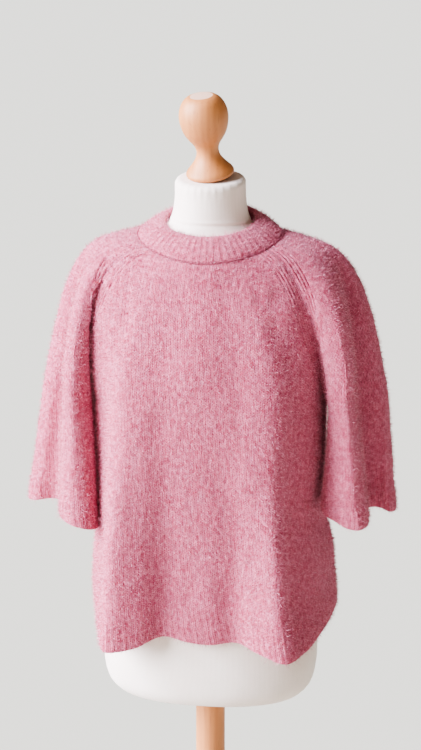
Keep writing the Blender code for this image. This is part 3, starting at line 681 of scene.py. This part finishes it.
def make_sleeve(name, lobes, side):
    bind_off = underarm_points(side, -BIND_OFF) + underarm_points(side, BIND_OFF)[::-1]
    handles = [RIGHT_FRONT_SEAM, SLEEVE_FRONT, SLEEVE_TOP, SLEEVE_BACK, BACK_SEAM]
    if side < 0:
        handles = [LEFT_FRONT_SEAM] + [mirrored(handle) for handle in handles[1:]]
    heights = np.arange(UNDERARM - COURSE, CUFF + CUFF_RIB, -COURSE)
    ribs = np.append(CUFF + CUFF_RIB - np.arange(0, CUFF_RIB - 4, CUFF_RIB_STEP),
                     (CUFF + LAST_ROW, CUFF))
    return knit(name, SLEEVE_HALF_WALES, lambda height: sleeve_line(lobes, height), bind_off,
                lambda s: oval_points(NECK_SEAM,
                                      side * (RAGLAN_FRONT + (RAGLAN_BACK - RAGLAN_FRONT) * s)),
                handles, heights, ribs, closed=True, flipped=side < 0)


front = make_panel("front_knit", front_line, -1, -RAGLAN_FRONT, RAGLAN_FRONT,
                   [LEFT_FRONT_SEAM, mirrored(FRONT_MID), FRONT_MIDDLE, FRONT_MID,
                    RIGHT_FRONT_SEAM])
back = make_panel("back_knit", back_line, 1, RAGLAN_BACK, 360 - RAGLAN_BACK,
                  [BACK_SEAM, BACK_MID, BACK_MIDDLE, mirrored(BACK_MID), mirrored(BACK_SEAM)])
sleeves = [make_sleeve("sleeve_right_knit", RIGHT_SLEEVE, 1),
           make_sleeve("sleeve_left_knit", LEFT_SLEEVE, -1)]
pieces = [front, back, *sleeves]


def corner_areas(points, faces):
    """For each point, the sum of its faces' areas as outward vectors."""
    total = np.zeros_like(points)
    for corners in (3, 4):
        group = np.array([face for face in faces if len(face) == corners])
        if not len(group):
            continue
        p = points[group]
        area = np.cross(p[:, 2] - p[:, 0], p[:, -1] - p[:, 1 if corners == 4 else 0])
        if corners == 3:
            area = np.cross(p[:, 1] - p[:, 0], p[:, 2] - p[:, 0])
        for k in range(corners):
            np.add.at(total, group[:, k], area)
    return total


def shared_normals(pieces):
    """Each piece's outward directions, the same on both sides of a seam."""
    totals = [corner_areas(piece.points, piece.faces) for piece in pieces]
    met = {}
    for number, piece in enumerate(pieces):
        for i in piece.hang:
            met.setdefault(tuple(np.round(piece.points[i], 1)), []).append((number, i))
    for places in met.values():
        whole = sum(totals[number][i] for number, i in places)
        for number, i in places:
            totals[number][i] = whole
    return [total / np.linalg.norm(total, axis=1, keepdims=True) for total in totals]


def crease_heights(points, creases, side_x=1):
    """How far the creases and the cloth's own ripple lift each point."""
    lift = np.zeros(len(points))
    for crease in creases:
        run = math.radians(crease.turn)
        x = points[:, 0] * side_x - crease.x
        z = points[:, 2] - crease.z
        along = (x * math.cos(run) + z * math.sin(run)) / (crease.length / 2)
        across = (z * math.cos(run) - x * math.sin(run)) / crease.width
        lift += crease.raise_mm * np.exp(-across ** 2) * np.clip(1 - along ** 2, 0, 1) ** 2
    ripple = [noise.noise(Vector(point) / RIPPLE_SIZE) for point in points]
    return lift + RIPPLE * np.array(ripple)


for piece, normals, creases, side in zip(pieces, shared_normals(pieces),
                                         (FRONT_CREASES, BACK_CREASES, SLEEVE_CREASES,
                                          SLEEVE_CREASES), (1, 1, 1, -1)):
    calm = 1 - piece.data[:, 6]
    piece.points += normals * (crease_heights(piece.points, creases, side) * calm)[:, None]

for piece, normals in zip(pieces, shared_normals(pieces)):
    for i, normal in enumerate(normals):
        under = Vector((piece.points[i] - (INSET + WALL) * normal) * MM)
        spot, away, _, _ = torso_tree.find_nearest(under, 0.02)
        if spot is not None:
            clear = (under - spot).dot(away) / MM
            if clear < REST_GAP:
                piece.points[i] += np.array(away) * (REST_GAP - clear)


def pull_back(points, normals, faces, distance):
    """Moves the open edges into the piece, so that they stay clear of the next piece."""
    edges = {(face[i - 1], face[i]): face for face in faces for i in range(len(face))}
    rims = [(edge, face) for edge, face in edges.items() if edge[::-1] not in edges]
    inward = np.zeros_like(points)
    for (start, end), face in rims:
        across = np.cross(normals[start] + normals[end], points[end] - points[start])
        across *= np.sign(np.dot(across, points[list(face)].mean(axis=0) - points[start]))
        inward[[start, end]] += across / np.linalg.norm(across)
    size = np.maximum(np.linalg.norm(inward, axis=1, keepdims=True), 0.5)
    return points + distance * inward / size, [edge for edge, _ in rims]


def knit_object(piece, normals, material):
    """The piece as a closed shell: stitches and ribs on its face, plain inside."""
    u, rib, seam, relief = piece.data[:, 3], *piece.data[:, 5:].T
    points, rims = pull_back(piece.points, normals, piece.faces, SEAM_GAP / 2)
    plain = (rib == 0) * (1 - seam) * relief
    wave = np.cos(2 * math.pi * u)
    worn = np.random.default_rng(len(piece.name) * 31).random(piece.count)
    between = plain * (0.5 - 0.5 * wave)
    open_gap = np.clip(worn - 0.35, 0, 1) * (rib == 0) * (0.6 + 0.4 * between)
    lift = (RIB_RAISE * rib + WALE_RAISE * wave * plain - STITCH_DIP * open_gap
            - SEAM_SINK * seam - INSET)
    outer = points + normals * lift[:, None]
    inner_ids = sorted({i for face in piece.inner_faces for i in face})
    number = {old: piece.count + new for new, old in enumerate(inner_ids)}
    inner = points[inner_ids] - (INSET + WALL) * normals[inner_ids]
    faces = list(piece.faces)
    faces += [tuple(number[i] for i in face[::-1]) for face in piece.inner_faces]
    for start, end in rims:
        rim = (end, start, number[piece.hang[start]], number[piece.hang[end]])
        faces.append(rim[:3] if rim[2] == rim[3] else rim)
    faces = [tuple(int(i) for i in face) for face in faces]
    made = finished(piece.name, np.vstack([outer, inner]), faces, [material])

    uv = np.vstack([piece.data[:, 3:5], piece.data[inner_ids, 3:5]])
    corners = np.empty(len(made.data.loops), int)
    made.data.loops.foreach_get("vertex_index", corners)
    places = uv[corners]
    for face in made.data.polygons:
        where = slice(face.loop_start, face.loop_start + face.loop_total)
        us = places[where, 0]
        if us.max() - us.min() > 1.5:
            near = us[np.abs(us).argmin()]
            places[where, 0] = np.where(np.abs(us - near) > 1, near + math.copysign(0.5, near), us)
    layer = made.data.uv_layers.new(name="stitches")
    layer.data.foreach_set("uv", places.ravel())

    hair = np.zeros(len(made.data.vertices))
    hair[:piece.count] = (1 - 0.6 * seam) * np.clip(1.15 - 1.7 * open_gap - 0.1 * between, 0.1, 1)
    edge = np.zeros(len(hair))
    edge[:piece.count] = (rib > 0) * (0.3 + 0.7 * (seam > 0.3))
    edge[piece.rows[-1]] = 6
    for name, values in (("pile", hair), ("edge", edge)):
        made.data.attributes.new(name, "FLOAT", "POINT").data.foreach_set("value", values)
    return made


# Brushed wool and mohair yarn in pink, knitted and then raised with teasels: the stitches show
# softly through the nap, with painted shade in the gaps between wales where the nap leaves them
# open, and the yarn is lightly mottled.
wool, tree, shader = new_material("brushed pink wool knit")
stitch = add(tree, "ShaderNodeUVMap", uv_map="stitches")
place = add(tree, "ShaderNodeTexCoord").outputs["Object"]
waver = add(tree, "ShaderNodeTexNoise", {"Vector": place, "Scale": 110.0, "Detail": 1.0})
apart = add(tree, "ShaderNodeSeparateXYZ", {0: stitch})
sway = add(tree, "ShaderNodeMath", {0: waver, 1: 0.5, 2: -0.25}, operation="MULTIPLY_ADD")
wale = add(tree, "ShaderNodeMath", {0: apart.outputs[0], 1: sway}, operation="ADD")
across = add(tree, "ShaderNodeMath", {0: wale, 1: 0.5}, operation="PINGPONG")
course = add(tree, "ShaderNodeMath", {0: sway, 1: 1.6, 2: apart.outputs[1]},
             operation="MULTIPLY_ADD")
later = add(tree, "ShaderNodeMath", {0: course, 1: 0.5}, operation="ADD")
holes = []
for border, phase, deep in (((0.3, 0.47), course, 1.0), ((0.17, 0.02), later, 0.7)):
    column = add(tree, "ShaderNodeMapRange", {"Value": across, "From Min": border[0],
                                              "From Max": border[1], "To Max": deep},
                 interpolation_type="SMOOTHSTEP")
    along = add(tree, "ShaderNodeMath", {0: phase, 1: 0.5}, operation="PINGPONG")
    dash = add(tree, "ShaderNodeMapRange", {"Value": along, "From Min": 0.1, "From Max": 0.3},
               interpolation_type="SMOOTHSTEP")
    holes.append(add(tree, "ShaderNodeMath", {0: column, 1: dash}, operation="MULTIPLY"))
gap = add(tree, "ShaderNodeMath", {0: holes[0], 1: holes[1]}, operation="MAXIMUM")
height = add(tree, "ShaderNodeMath", {0: 1.0, 1: gap}, operation="SUBTRACT")
nap = add(tree, "ShaderNodeTexNoise", {"Vector": place, "Scale": 420.0, "Detail": 3.0,
                                       "Roughness": 0.65})
mottle = add(tree, "ShaderNodeTexNoise", {"Vector": place, "Scale": 150.0, "Detail": 2.0})
worn = add(tree, "ShaderNodeMapRange", {"Value": nap, "From Min": 0.38, "From Max": 0.56})
painted_gap_shade = add(tree, "ShaderNodeMath", {0: gap, 1: worn}, operation="MULTIPLY")
tone = add(tree, "ShaderNodeMapRange", {"Value": mottle, "From Min": 0.32, "From Max": 0.68})
yarn = add(tree, "ShaderNodeMix", {0: tone, 6: linear("#AE4D64"), 7: linear("#D0768C")},
           data_type="RGBA")
# Painted shade: the gaps between stitches take a dark colour where the nap leaves them open.
colour = add(tree, "ShaderNodeMix", {0: painted_gap_shade, 6: yarn.outputs[2], 7: linear("#7C2C3C")},
             data_type="RGBA")
tree.links.new(colour.outputs[2], shader.inputs["Base Color"])
relief = add(tree, "ShaderNodeMath", {0: nap, 1: 0.7, 2: height}, operation="MULTIPLY_ADD")
bump = add(tree, "ShaderNodeBump", {"Height": relief, "Strength": 0.55, "Distance": 0.0011})
tree.links.new(bump.outputs[0], shader.inputs["Normal"])
shader.inputs["Roughness"].default_value = 0.95
shader.inputs["Specular IOR Level"].default_value = 0.15
shader.inputs["Sheen Weight"].default_value = 0.3
shader.inputs["Sheen Roughness"].default_value = 0.55
shader.inputs["Sheen Tint"].default_value = linear("#FBC4D2")
shader.inputs["Subsurface Weight"].default_value = 0.3
shader.inputs["Subsurface Radius"].default_value = (1.0, 0.4, 0.35)
shader.inputs["Subsurface Scale"].default_value = 0.005

piece_normals = shared_normals(pieces)
knitted = [knit_object(piece, normals, wool) for piece, normals in zip(pieces, piece_normals)]
for made, node in zip(knitted, ("front", "back", "sleeve_right", "sleeve_left")):
    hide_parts(node)

# ---------------------------------------------------------------- neckband
# The crew neckband: 62 ribs of 1x1 rib, knitted double, folded over at its top and linked to the
# neckline, so that it stands round the form's neck as a soft roll.

BAND_TOP = Oval(68.5, 66.5, 0, 1375, 1393, 1408)
BAND_WALL = 4.0
BAND_CROWN = 3.0
BAND_CROWN_RISE = 0.8
BAND_RIBS = 62
BAND_COLUMNS = 6           # to a rib
BAND_TURN = 0.25           # share of the height where the band still faces as the body does
FOOT_LIFT = 0.4            # keeps the band's foot clear of the body
# Up the outside, over the fold and down the inside: the share of the way up, the depth into the
# band as a share of its wall, and how much of a rib's height.
BAND_SECTION = (
    (0.0, 0.28, 0.3), (0.04, 0.05, 0.8), (0.12, 0, 1), (0.22, 0, 1), (0.34, 0, 1), (0.46, 0, 1),
    (0.58, 0, 0.9), (0.7, 0, 0.8), (0.82, 0, 0.7), (0.91, 0.05, 0.6), (0.98, 0.25, 0.5),
    (1.03, 0.6, 0.4), (1.05, 1.1, 0.3), (1.04, 1.6, 0.2), (0.98, 2.1, 0.1), (0.88, 2.3, 0),
    (0.7, 2.0, 0), (0.45, 1.4, 0), (0.25, 1.1, 0), (0.02, 1, 0), (-0.01, 0.62, 0),
)


def band_points(angles, climb):
    """The neckband's outer face at a share of the way up from its seam."""
    low = oval_points(NECK_SEAM, angles)
    high = oval_points(BAND_TOP, angles)
    outward = np.stack([np.sin(np.radians(angles)), -np.cos(np.radians(angles)),
                        np.full(len(angles), BAND_CROWN_RISE)], axis=1)
    outward /= math.hypot(1, BAND_CROWN_RISE)
    climb = np.reshape(climb, (-1, 1))
    return low + (high - low) * climb + outward * BAND_CROWN * 4 * climb * (1 - climb)


columns = BAND_RIBS * BAND_COLUMNS
angles = np.arange(columns) * 360 / columns
seam_angles = []
seam_directions = []
for piece, normals in zip(pieces, piece_normals):
    top = piece.rows[0]
    places = piece.points[top]
    seam_angles.append(np.degrees(np.arctan2(places[:, 0] / NECK_SEAM.half_width,
                                             (NECK_SEAM.middle_y - places[:, 1])
                                             / NECK_SEAM.half_depth)) % 360)
    seam_directions.append(normals[top])
seam_angles = np.concatenate(seam_angles)
seam_directions = np.vstack(seam_directions)
order = np.argsort(seam_angles)
foot = np.stack([np.interp(angles, seam_angles[order], seam_directions[order, axis], period=360)
                 for axis in range(3)], axis=1)
rib_wave = 0.8 * RIB_RAISE * (0.5 - 0.5 * np.cos(2 * math.pi * np.arange(columns) / BAND_COLUMNS))
uneven = np.array([noise.noise(Vector((math.sin(a) * 3.1, math.cos(a) * 3.1, 0.4)))
                   for a in np.radians(angles)])
band_rows = []
band_uv = []
climbed = 0.0
for climb, depth, ribbed in BAND_SECTION:
    surface = band_points(angles, max(climb, 0.0) * (1 + 0.02 * uneven))
    up = band_points(angles, climb + 0.01) - band_points(angles, climb - 0.01)
    around = np.roll(surface, -1, axis=0) - np.roll(surface, 1, axis=0)
    normal = np.cross(around, up)
    normal /= np.linalg.norm(normal, axis=1, keepdims=True)
    blend = max(0.0, 1 - max(climb, 0.0) / BAND_TURN)
    normal = normal * (1 - blend) + foot * blend
    normal /= np.linalg.norm(normal, axis=1, keepdims=True)
    row = surface + normal * (ribbed * rib_wave - depth * BAND_WALL - INSET * 0.5)[:, None]
    if climb <= 0.02:
        rise = band_points(angles, 0.05) - band_points(angles, 0.0)
        row += FOOT_LIFT * rise / np.linalg.norm(rise, axis=1)[:, None]
    for i, point in enumerate(row):
        spot, away, _, _ = torso_tree.find_nearest(Vector(point * MM), 0.02)
        clear = (Vector(point * MM) - spot).dot(away) / MM if spot is not None else REST_GAP
        row[i] += np.array(away or (0, 0, 0)) * max(0.0, REST_GAP - clear)
    if band_rows:
        climbed += np.linalg.norm(row - band_rows[-1], axis=1).mean() / COURSE
    band_rows.append(row)
    band_uv.append(climbed)
faces = []
for i in range(len(band_rows)):
    for j in range(columns):
        k = (j + 1) % columns
        below, above = i * columns, (i + 1) % len(band_rows) * columns
        faces.append((below + j, below + k, above + k, above + j))
neckband = finished("neckband_rib", np.vstack(band_rows), faces, [wool])
layer = neckband.data.uv_layers.new(name="stitches")
uvs = []
for i in range(len(band_rows)):
    top = band_uv[i + 1] if i + 1 < len(band_rows) else band_uv[i] + 0.5
    for j in range(columns):
        left, right = j * 2 / BAND_COLUMNS, (j + 1) * 2 / BAND_COLUMNS
        uvs += [left, band_uv[i], right, band_uv[i], right, top, left, top]
layer.data.foreach_set("uv", uvs)
ring_of = np.arange(len(neckband.data.vertices)) // columns
share = np.array([row[2] for row in BAND_SECTION])[ring_of]
high = np.array([row[0] > 0.8 for row in BAND_SECTION])[ring_of]
for name, values in (("pile", np.maximum(np.clip(share * 1.3, 0, 1), 1.1 * high)),
                     ("edge", np.maximum(share * 0.4, high * 6.0))):
    neckband.data.attributes.new(name, "FLOAT", "POINT").data.foreach_set("value", values)
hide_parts("neckband")

# ---------------------------------------------------------------- neck seam
# The row of linking that joins the neckband to the body: chain stitches of the same yarn, without
# nap, about 3 mm wide, uneven, and pulled into the seam. Its colour is painted darker than the
# body's yarn, as shade in the seam, so that it reads as a darker line.

LINK_PITCH = 4.4
LINK_LENGTH = 6.2
LINK_WIDTH = 2.7
LINK_YARN = 1.1            # thickness of the yarn
LINK_SINK = 0.8            # how deep the chain is pulled into the seam

link_yarn, tree, shader = new_material("pink wool linking yarn")
place = add(tree, "ShaderNodeTexCoord").outputs["Object"]
twist = add(tree, "ShaderNodeTexNoise", {"Vector": place, "Scale": 700.0, "Detail": 2.0})
# Painted shade: these pinks are darker than the body's yarn, for the shade in the seam.
colour = add(tree, "ShaderNodeMix", {0: twist, 6: linear("#883649"), 7: linear("#B86578")},
             data_type="RGBA")
tree.links.new(colour.outputs[2], shader.inputs["Base Color"])
bump = add(tree, "ShaderNodeBump", {"Height": twist, "Strength": 0.5, "Distance": 0.0005})
tree.links.new(bump.outputs[0], shader.inputs["Normal"])
shader.inputs["Roughness"].default_value = 0.95
shader.inputs["Specular IOR Level"].default_value = 0.15

loop_turns = np.arange(12) * math.tau / 12
loop_line = np.stack([LINK_LENGTH / 2 * np.cos(loop_turns), LINK_WIDTH / 2 * np.sin(loop_turns)
                      * (0.8 - 0.35 * np.cos(loop_turns)), 0.7 * np.cos(loop_turns)], axis=1)
loop_along = np.roll(loop_line, -1, axis=0) - np.roll(loop_line, 1, axis=0)
loop_side = np.cross(loop_along, (0, 0, 1))
loop_side /= np.linalg.norm(loop_side, axis=1, keepdims=True)
loop_points = np.vstack([loop_line + LINK_YARN / 2 * (loop_side * math.cos(turn)
                                                      + np.array((0, 0, math.sin(turn))))
                         for turn in np.arange(5) * math.tau / 5])
loop_faces = [(j * 12 + i, j * 12 + (i + 1) % 12, (j + 1) % 5 * 12 + (i + 1) % 12,
               (j + 1) % 5 * 12 + i) for j in range(5) for i in range(12)]
link = finished("link", loop_points, loop_faces, [link_yarn])

links = round(math.pi * (NECK_SEAM.half_width + NECK_SEAM.half_depth) / LINK_PITCH)
link_angles = (np.arange(links) + 0.5) * 360 / links
seam_line = oval_points(NECK_SEAM, link_angles)
outward = np.stack([np.interp(link_angles, seam_angles[order], seam_directions[order, axis],
                              period=360) for axis in range(3)], axis=1)
seam_line += outward * -LINK_SINK
path = bpy.data.meshes.new("neck_seam_chain")
path.from_pydata((seam_line * MM).tolist(), [], [])
tangent = np.roll(seam_line, -1, axis=0) - np.roll(seam_line, 1, axis=0)
for name, values in (("run", tangent), ("face", outward)):
    path.attributes.new(name, "FLOAT_VECTOR", "POINT").data.foreach_set("vector", values.ravel())
chain = bpy.data.objects.new("neck_seam_chain", path)
bpy.context.scene.collection.objects.link(chain)

chain_tree = bpy.data.node_groups.new("chain_of_loops", "GeometryNodeTree")
chain_tree.interface.new_socket("Path", in_out="INPUT", socket_type="NodeSocketGeometry")
loose_socket = chain_tree.interface.new_socket("Unevenness", in_out="INPUT",
                                               socket_type="NodeSocketFloat")
chain_tree.interface.new_socket("Chain", in_out="OUTPUT", socket_type="NodeSocketGeometry")
given = add(chain_tree, "NodeGroupInput").outputs
run = add(chain_tree, "GeometryNodeInputNamedAttribute", {"Name": "run"}, data_type="FLOAT_VECTOR")
face = add(chain_tree, "GeometryNodeInputNamedAttribute", {"Name": "face"},
           data_type="FLOAT_VECTOR")
ahead = add(chain_tree, "FunctionNodeAlignRotationToVector", {"Vector": run}, axis="X")
laid = add(chain_tree, "FunctionNodeAlignRotationToVector", {"Rotation": ahead, "Vector": face},
           axis="Z", pivot_axis="X")
low = add(chain_tree, "ShaderNodeMath", {0: 1.0, 1: given["Unevenness"]}, operation="SUBTRACT")
high = add(chain_tree, "ShaderNodeMath", {0: 1.0, 1: given["Unevenness"]}, operation="ADD")
size = add(chain_tree, "FunctionNodeRandomValue", {2: low, 3: high, "Seed": 3}, data_type="FLOAT")
one_link = add(chain_tree, "GeometryNodeObjectInfo", {"Object": link})
laid_links = add(chain_tree, "GeometryNodeInstanceOnPoints",
                 {"Points": given["Path"], "Instance": one_link.outputs["Geometry"],
                  "Rotation": laid, "Scale": size.outputs[1]})
real = add(chain_tree, "GeometryNodeRealizeInstances", {"Geometry": laid_links})
dyed = add(chain_tree, "GeometryNodeSetMaterial", {"Geometry": real, "Material": link_yarn})
add(chain_tree, "NodeGroupOutput", {0: dyed})
linking = chain.modifiers.new("linking", "NODES")
linking.node_group = chain_tree
linking[loose_socket.identifier] = 0.35
bpy.context.view_layer.update()
made = bpy.data.meshes.new_from_object(chain.evaluated_get(bpy.context.evaluated_depsgraph_get()))
chain.modifiers.clear()
chain.data = made
bpy.data.objects.remove(link)
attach(chain, "root")

# ---------------------------------------------------------------- pile
# The raised nap: wool and mohair hairs brushed out of the yarn, tousled and drooping slightly,
# with longer strays all over and longest at the hem, cuffs and neck, each lock painted darker
# towards its root as shade. Real hairs are 0.03 mm thick;
# these are 0.2 to 0.45 mm wide, so that they show, and stand for a small lock each.

hair, tree, shader = new_material("brushed mohair pile")
place = add(tree, "ShaderNodeTexCoord").outputs["Object"]
mixed = add(tree, "ShaderNodeTexNoise", {"Vector": place, "Scale": 270.0, "Detail": 1.0})
shade = add(tree, "ShaderNodeMapRange", {"Value": mixed, "From Min": 0.4, "From Max": 0.6})
tint = add(tree, "ShaderNodeMix", {0: shade, 6: linear("#B44E68"), 7: linear("#FFB0C2")},
           data_type="RGBA")
# Painted shade: each lock is darker towards its root, where the hairs around it shade it.
tip = add(tree, "ShaderNodeAttribute", attribute_name="tip").outputs["Fac"]
colour = add(tree, "ShaderNodeMix", {0: tip, 6: linear("#A4465E"), 7: tint.outputs[2]},
             data_type="RGBA")
tree.links.new(colour.outputs[2], shader.inputs["Base Color"])
shader.inputs["Roughness"].default_value = 0.9
shader.inputs["Specular IOR Level"].default_value = 0.2
shader.inputs["Sheen Weight"].default_value = 0.55
shader.inputs["Sheen Roughness"].default_value = 0.5

locks = bpy.data.collections.new("locks")
for number, bend in enumerate((-0.5, -0.2, 0.15, 0.45)):
    mesh = bpy.data.meshes.new(f"lock_{number}")
    mesh.from_pydata([(-0.5, 0, 0), (0.5, 0, 0), (0.38, bend * 0.3, 0.55), (-0.38, bend * 0.3, 0.55),
                      (0, bend, 1)], [], [(0, 1, 2, 3), (3, 2, 4)])
    mesh.shade_smooth()
    # tip runs from 0 at the root to 1 at the tip; the pile's colour uses it for painted shade at the
    # root.
    mesh.attributes.new("tip", "FLOAT", "POINT").data.foreach_set("value", (0, 0, 0.8, 0.8, 1))
    locks.objects.link(bpy.data.objects.new(mesh.name, mesh))

nap_tree = bpy.data.node_groups.new("brushed_nap", "GeometryNodeTree")
sockets = {}
for name, kind, default in (("Cloth", "NodeSocketGeometry", None), ("Where", "NodeSocketString", ""),
                            ("Locks per m2", "NodeSocketFloat", 0.0),
                            ("Length", "NodeSocketFloat", 0.0), ("Width", "NodeSocketFloat", 0.0),
                            ("Stand", "NodeSocketFloat", 0.0), ("Droop", "NodeSocketFloat", 0.0),
                            ("Seed", "NodeSocketInt", 0)):
    made = nap_tree.interface.new_socket(name, in_out="INPUT", socket_type=kind)
    if default is not None:
        made.default_value = default
    sockets[name] = made.identifier
nap_tree.interface.new_socket("Pile", in_out="OUTPUT", socket_type="NodeSocketGeometry")
given = add(nap_tree, "NodeGroupInput").outputs
where = add(nap_tree, "GeometryNodeInputNamedAttribute", {"Name": given["Where"]},
            data_type="FLOAT")
density = add(nap_tree, "ShaderNodeMath", {0: where, 1: given["Locks per m2"]},
              operation="MULTIPLY")
roots = add(nap_tree, "GeometryNodeDistributePointsOnFaces",
            {"Mesh": given["Cloth"], "Density": density, "Seed": given["Seed"]},
            distribute_method="RANDOM")
spot = add(nap_tree, "GeometryNodeInputPosition")
tuft = add(nap_tree, "ShaderNodeTexNoise", {"Vector": spot, "Scale": 170.0, "Detail": 1.0})
tuft_way = add(nap_tree, "ShaderNodeVectorMath", {0: tuft.outputs["Color"], 1: (0.5, 0.5, 0.5)},
               operation="SUBTRACT")
tuft_push = add(nap_tree, "ShaderNodeVectorMath", {0: tuft_way, "Scale": 2.9}, operation="SCALE")
stray = add(nap_tree, "FunctionNodeRandomValue", {0: (-1, -1, -1), 1: (1, 1, 1), "Seed": 7},
            data_type="FLOAT_VECTOR")
both = add(nap_tree, "ShaderNodeVectorMath", {0: tuft_push, 1: stray}, operation="ADD")
out = add(nap_tree, "ShaderNodeVectorMath", {0: roots.outputs["Normal"], "Scale": given["Stand"]},
          operation="SCALE")
leaning = add(nap_tree, "ShaderNodeVectorMath", {0: both, 1: out}, operation="ADD")
down = add(nap_tree, "ShaderNodeCombineXYZ", {"Z": given["Droop"]})
way = add(nap_tree, "ShaderNodeVectorMath", {0: leaning, 1: down}, operation="SUBTRACT")
tuft_face = add(nap_tree, "ShaderNodeVectorMath", {0: tuft_way, "Scale": 2.4}, operation="SCALE")
tuft_up = add(nap_tree, "ShaderNodeVectorMath", {0: roots.outputs["Normal"], 1: tuft_face},
              operation="ADD")
pointing = add(nap_tree, "FunctionNodeAlignRotationToVector", {"Vector": way}, axis="Z")
facing = add(nap_tree, "FunctionNodeAlignRotationToVector",
             {"Rotation": pointing, "Vector": tuft_up}, axis="Y", pivot_axis="Z")
longer = add(nap_tree, "FunctionNodeRandomValue", {2: 0.55, 3: 1.25, "Seed": 11},
             data_type="FLOAT")
length = add(nap_tree, "ShaderNodeMath", {0: longer.outputs[1], 1: given["Length"]},
             operation="MULTIPLY")
scale = add(nap_tree, "ShaderNodeCombineXYZ", {"X": given["Width"], "Y": length, "Z": length})
kinds = add(nap_tree, "GeometryNodeCollectionInfo", {"Collection": locks,
                                                     "Separate Children": True,
                                                     "Reset Children": True})
chosen = add(nap_tree, "FunctionNodeRandomValue", {4: 0, 5: len(locks.objects) - 1, "Seed": 13},
             data_type="INT")
grown = add(nap_tree, "GeometryNodeInstanceOnPoints",
            {"Points": roots.outputs["Points"], "Instance": kinds, "Pick Instance": True,
             "Instance Index": chosen.outputs[2], "Rotation": facing, "Scale": scale})
real = add(nap_tree, "GeometryNodeRealizeInstances", {"Geometry": grown})
dyed = add(nap_tree, "GeometryNodeSetMaterial", {"Geometry": real, "Material": hair})
add(nap_tree, "NodeGroupOutput", {0: dyed})


def grow_pile(cloth, name, where, density, length, width, stand, droop, seed):
    """Hairs on a piece of cloth, as a plain mesh."""
    carrier = bpy.data.objects.new(name, cloth.data.copy())
    bpy.context.scene.collection.objects.link(carrier)
    nap = carrier.modifiers.new("nap", "NODES")
    nap.node_group = nap_tree
    for socket, value in (("Where", where), ("Locks per m2", density), ("Length", length * MM),
                          ("Width", width * MM), ("Stand", stand), ("Droop", droop),
                          ("Seed", seed)):
        nap[sockets[socket]] = value
    bpy.context.view_layer.update()
    grown = bpy.data.meshes.new_from_object(carrier.evaluated_get(
        bpy.context.evaluated_depsgraph_get()))
    carrier.modifiers.clear()
    carrier.data = grown
    grown.name = name
    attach(carrier, "root")
    return carrier


Pile = namedtuple("Pile", "density length width stand droop")
NAP = Pile(210000.0, 5.2, 0.45, 1.1, 0.3)
STRAYS = Pile(15000.0, 10.0, 0.2, 1.5, 0.3)
EDGE_STRAYS = Pile(22000.0, 12.0, 0.22, 1.1, 0.9)
cloths = [*knitted, neckband]
for seed, cloth in enumerate(cloths):
    short = cloth.name.replace("_knit", "").replace("_rib", "")
    grow_pile(cloth, f"{short}_nap", "pile", *NAP, seed + 1)
    grow_pile(cloth, f"{short}_strays", "pile", *STRAYS, seed + 21)
    grow_pile(cloth, f"{short}_edge_strays", "edge", *EDGE_STRAYS, seed + 41)
for lock in list(locks.objects):
    bpy.data.objects.remove(lock)
bpy.data.collections.remove(locks)

# ---------------------------------------------------------------- floor, light and camera
# A plain pale floor, a very wide sun in place of a window on the left, and a weak fill. The camera
# stands above the finial's top and to the right of the form's front, and looks down.

floor_mesh = bpy.data.meshes.new("floor")
reach = 90.0
floor_mesh.from_pydata([(-reach, -reach, 0), (reach, -reach, 0), (reach, reach, 0),
                        (-reach, reach, 0)], [], [(0, 1, 2, 3)])
floor = bpy.data.objects.new("floor", floor_mesh)
bpy.context.scene.collection.objects.link(floor)
paper, tree, shader = new_material("pale studio floor")
shader.inputs["Base Color"].default_value = linear("#C2BDAE")
shader.inputs["Roughness"].default_value = 0.9
floor_mesh.materials.append(paper)


def soft_light(name, place, target, size, power, colour):
    lamp = bpy.data.lights.new(name, "AREA")
    lamp.shape = "RECTANGLE"
    lamp.size, lamp.size_y = size
    lamp.energy = power
    lamp.color = linear(colour)[:3]
    made = bpy.data.objects.new(name, lamp)
    made.location = place
    made.rotation_euler = (Vector(target) - Vector(place)).to_track_quat("-Z", "Y").to_euler()
    bpy.context.scene.collection.objects.link(made)


sun = bpy.data.objects.new("window", bpy.data.lights.new("window", "SUN"))
sun.data.energy = 22
sun.data.angle = math.radians(50)
sun.data.color = linear("#EAF0FF")[:3]
sun.rotation_euler = Vector((-1.0, -0.36, 0.5)).to_track_quat("Z", "Y").to_euler()
bpy.context.scene.collection.objects.link(sun)
soft_light("fill", (-0.7, -2.8, 1.7), (0, 0, 1.1), (1.6, 1.6), 12, "#FFF3E6")

world = bpy.data.worlds.new("studio")
bpy.context.scene.world = world
world.use_nodes = True
world.node_tree.nodes["Background"].inputs["Color"].default_value = linear("#FFEEDA")
world.node_tree.nodes["Background"].inputs["Strength"].default_value = 0.2

CAMERA_TURN = 8
CAMERA_DOWN = 14
CAMERA_AWAY = 2.63
CAMERA_HEIGHT = 1.81
FOCAL_PIXELS = 1820
PICTURE_HEIGHT = 750       # pixels
bpy.context.scene.view_settings.look = "AgX - Medium High Contrast"
camera = bpy.data.objects.new("camera", bpy.data.cameras.new("camera"))
camera.data.sensor_width = 36
camera.data.lens = FOCAL_PIXELS / PICTURE_HEIGHT * camera.data.sensor_width
turn = math.radians(CAMERA_TURN)
camera.location = (CAMERA_AWAY * math.sin(turn), -CAMERA_AWAY * math.cos(turn),
                   CAMERA_HEIGHT)
camera.rotation_euler = (math.radians(90 - CAMERA_DOWN), 0, turn)
bpy.context.scene.collection.objects.link(camera)
bpy.context.scene.camera = camera
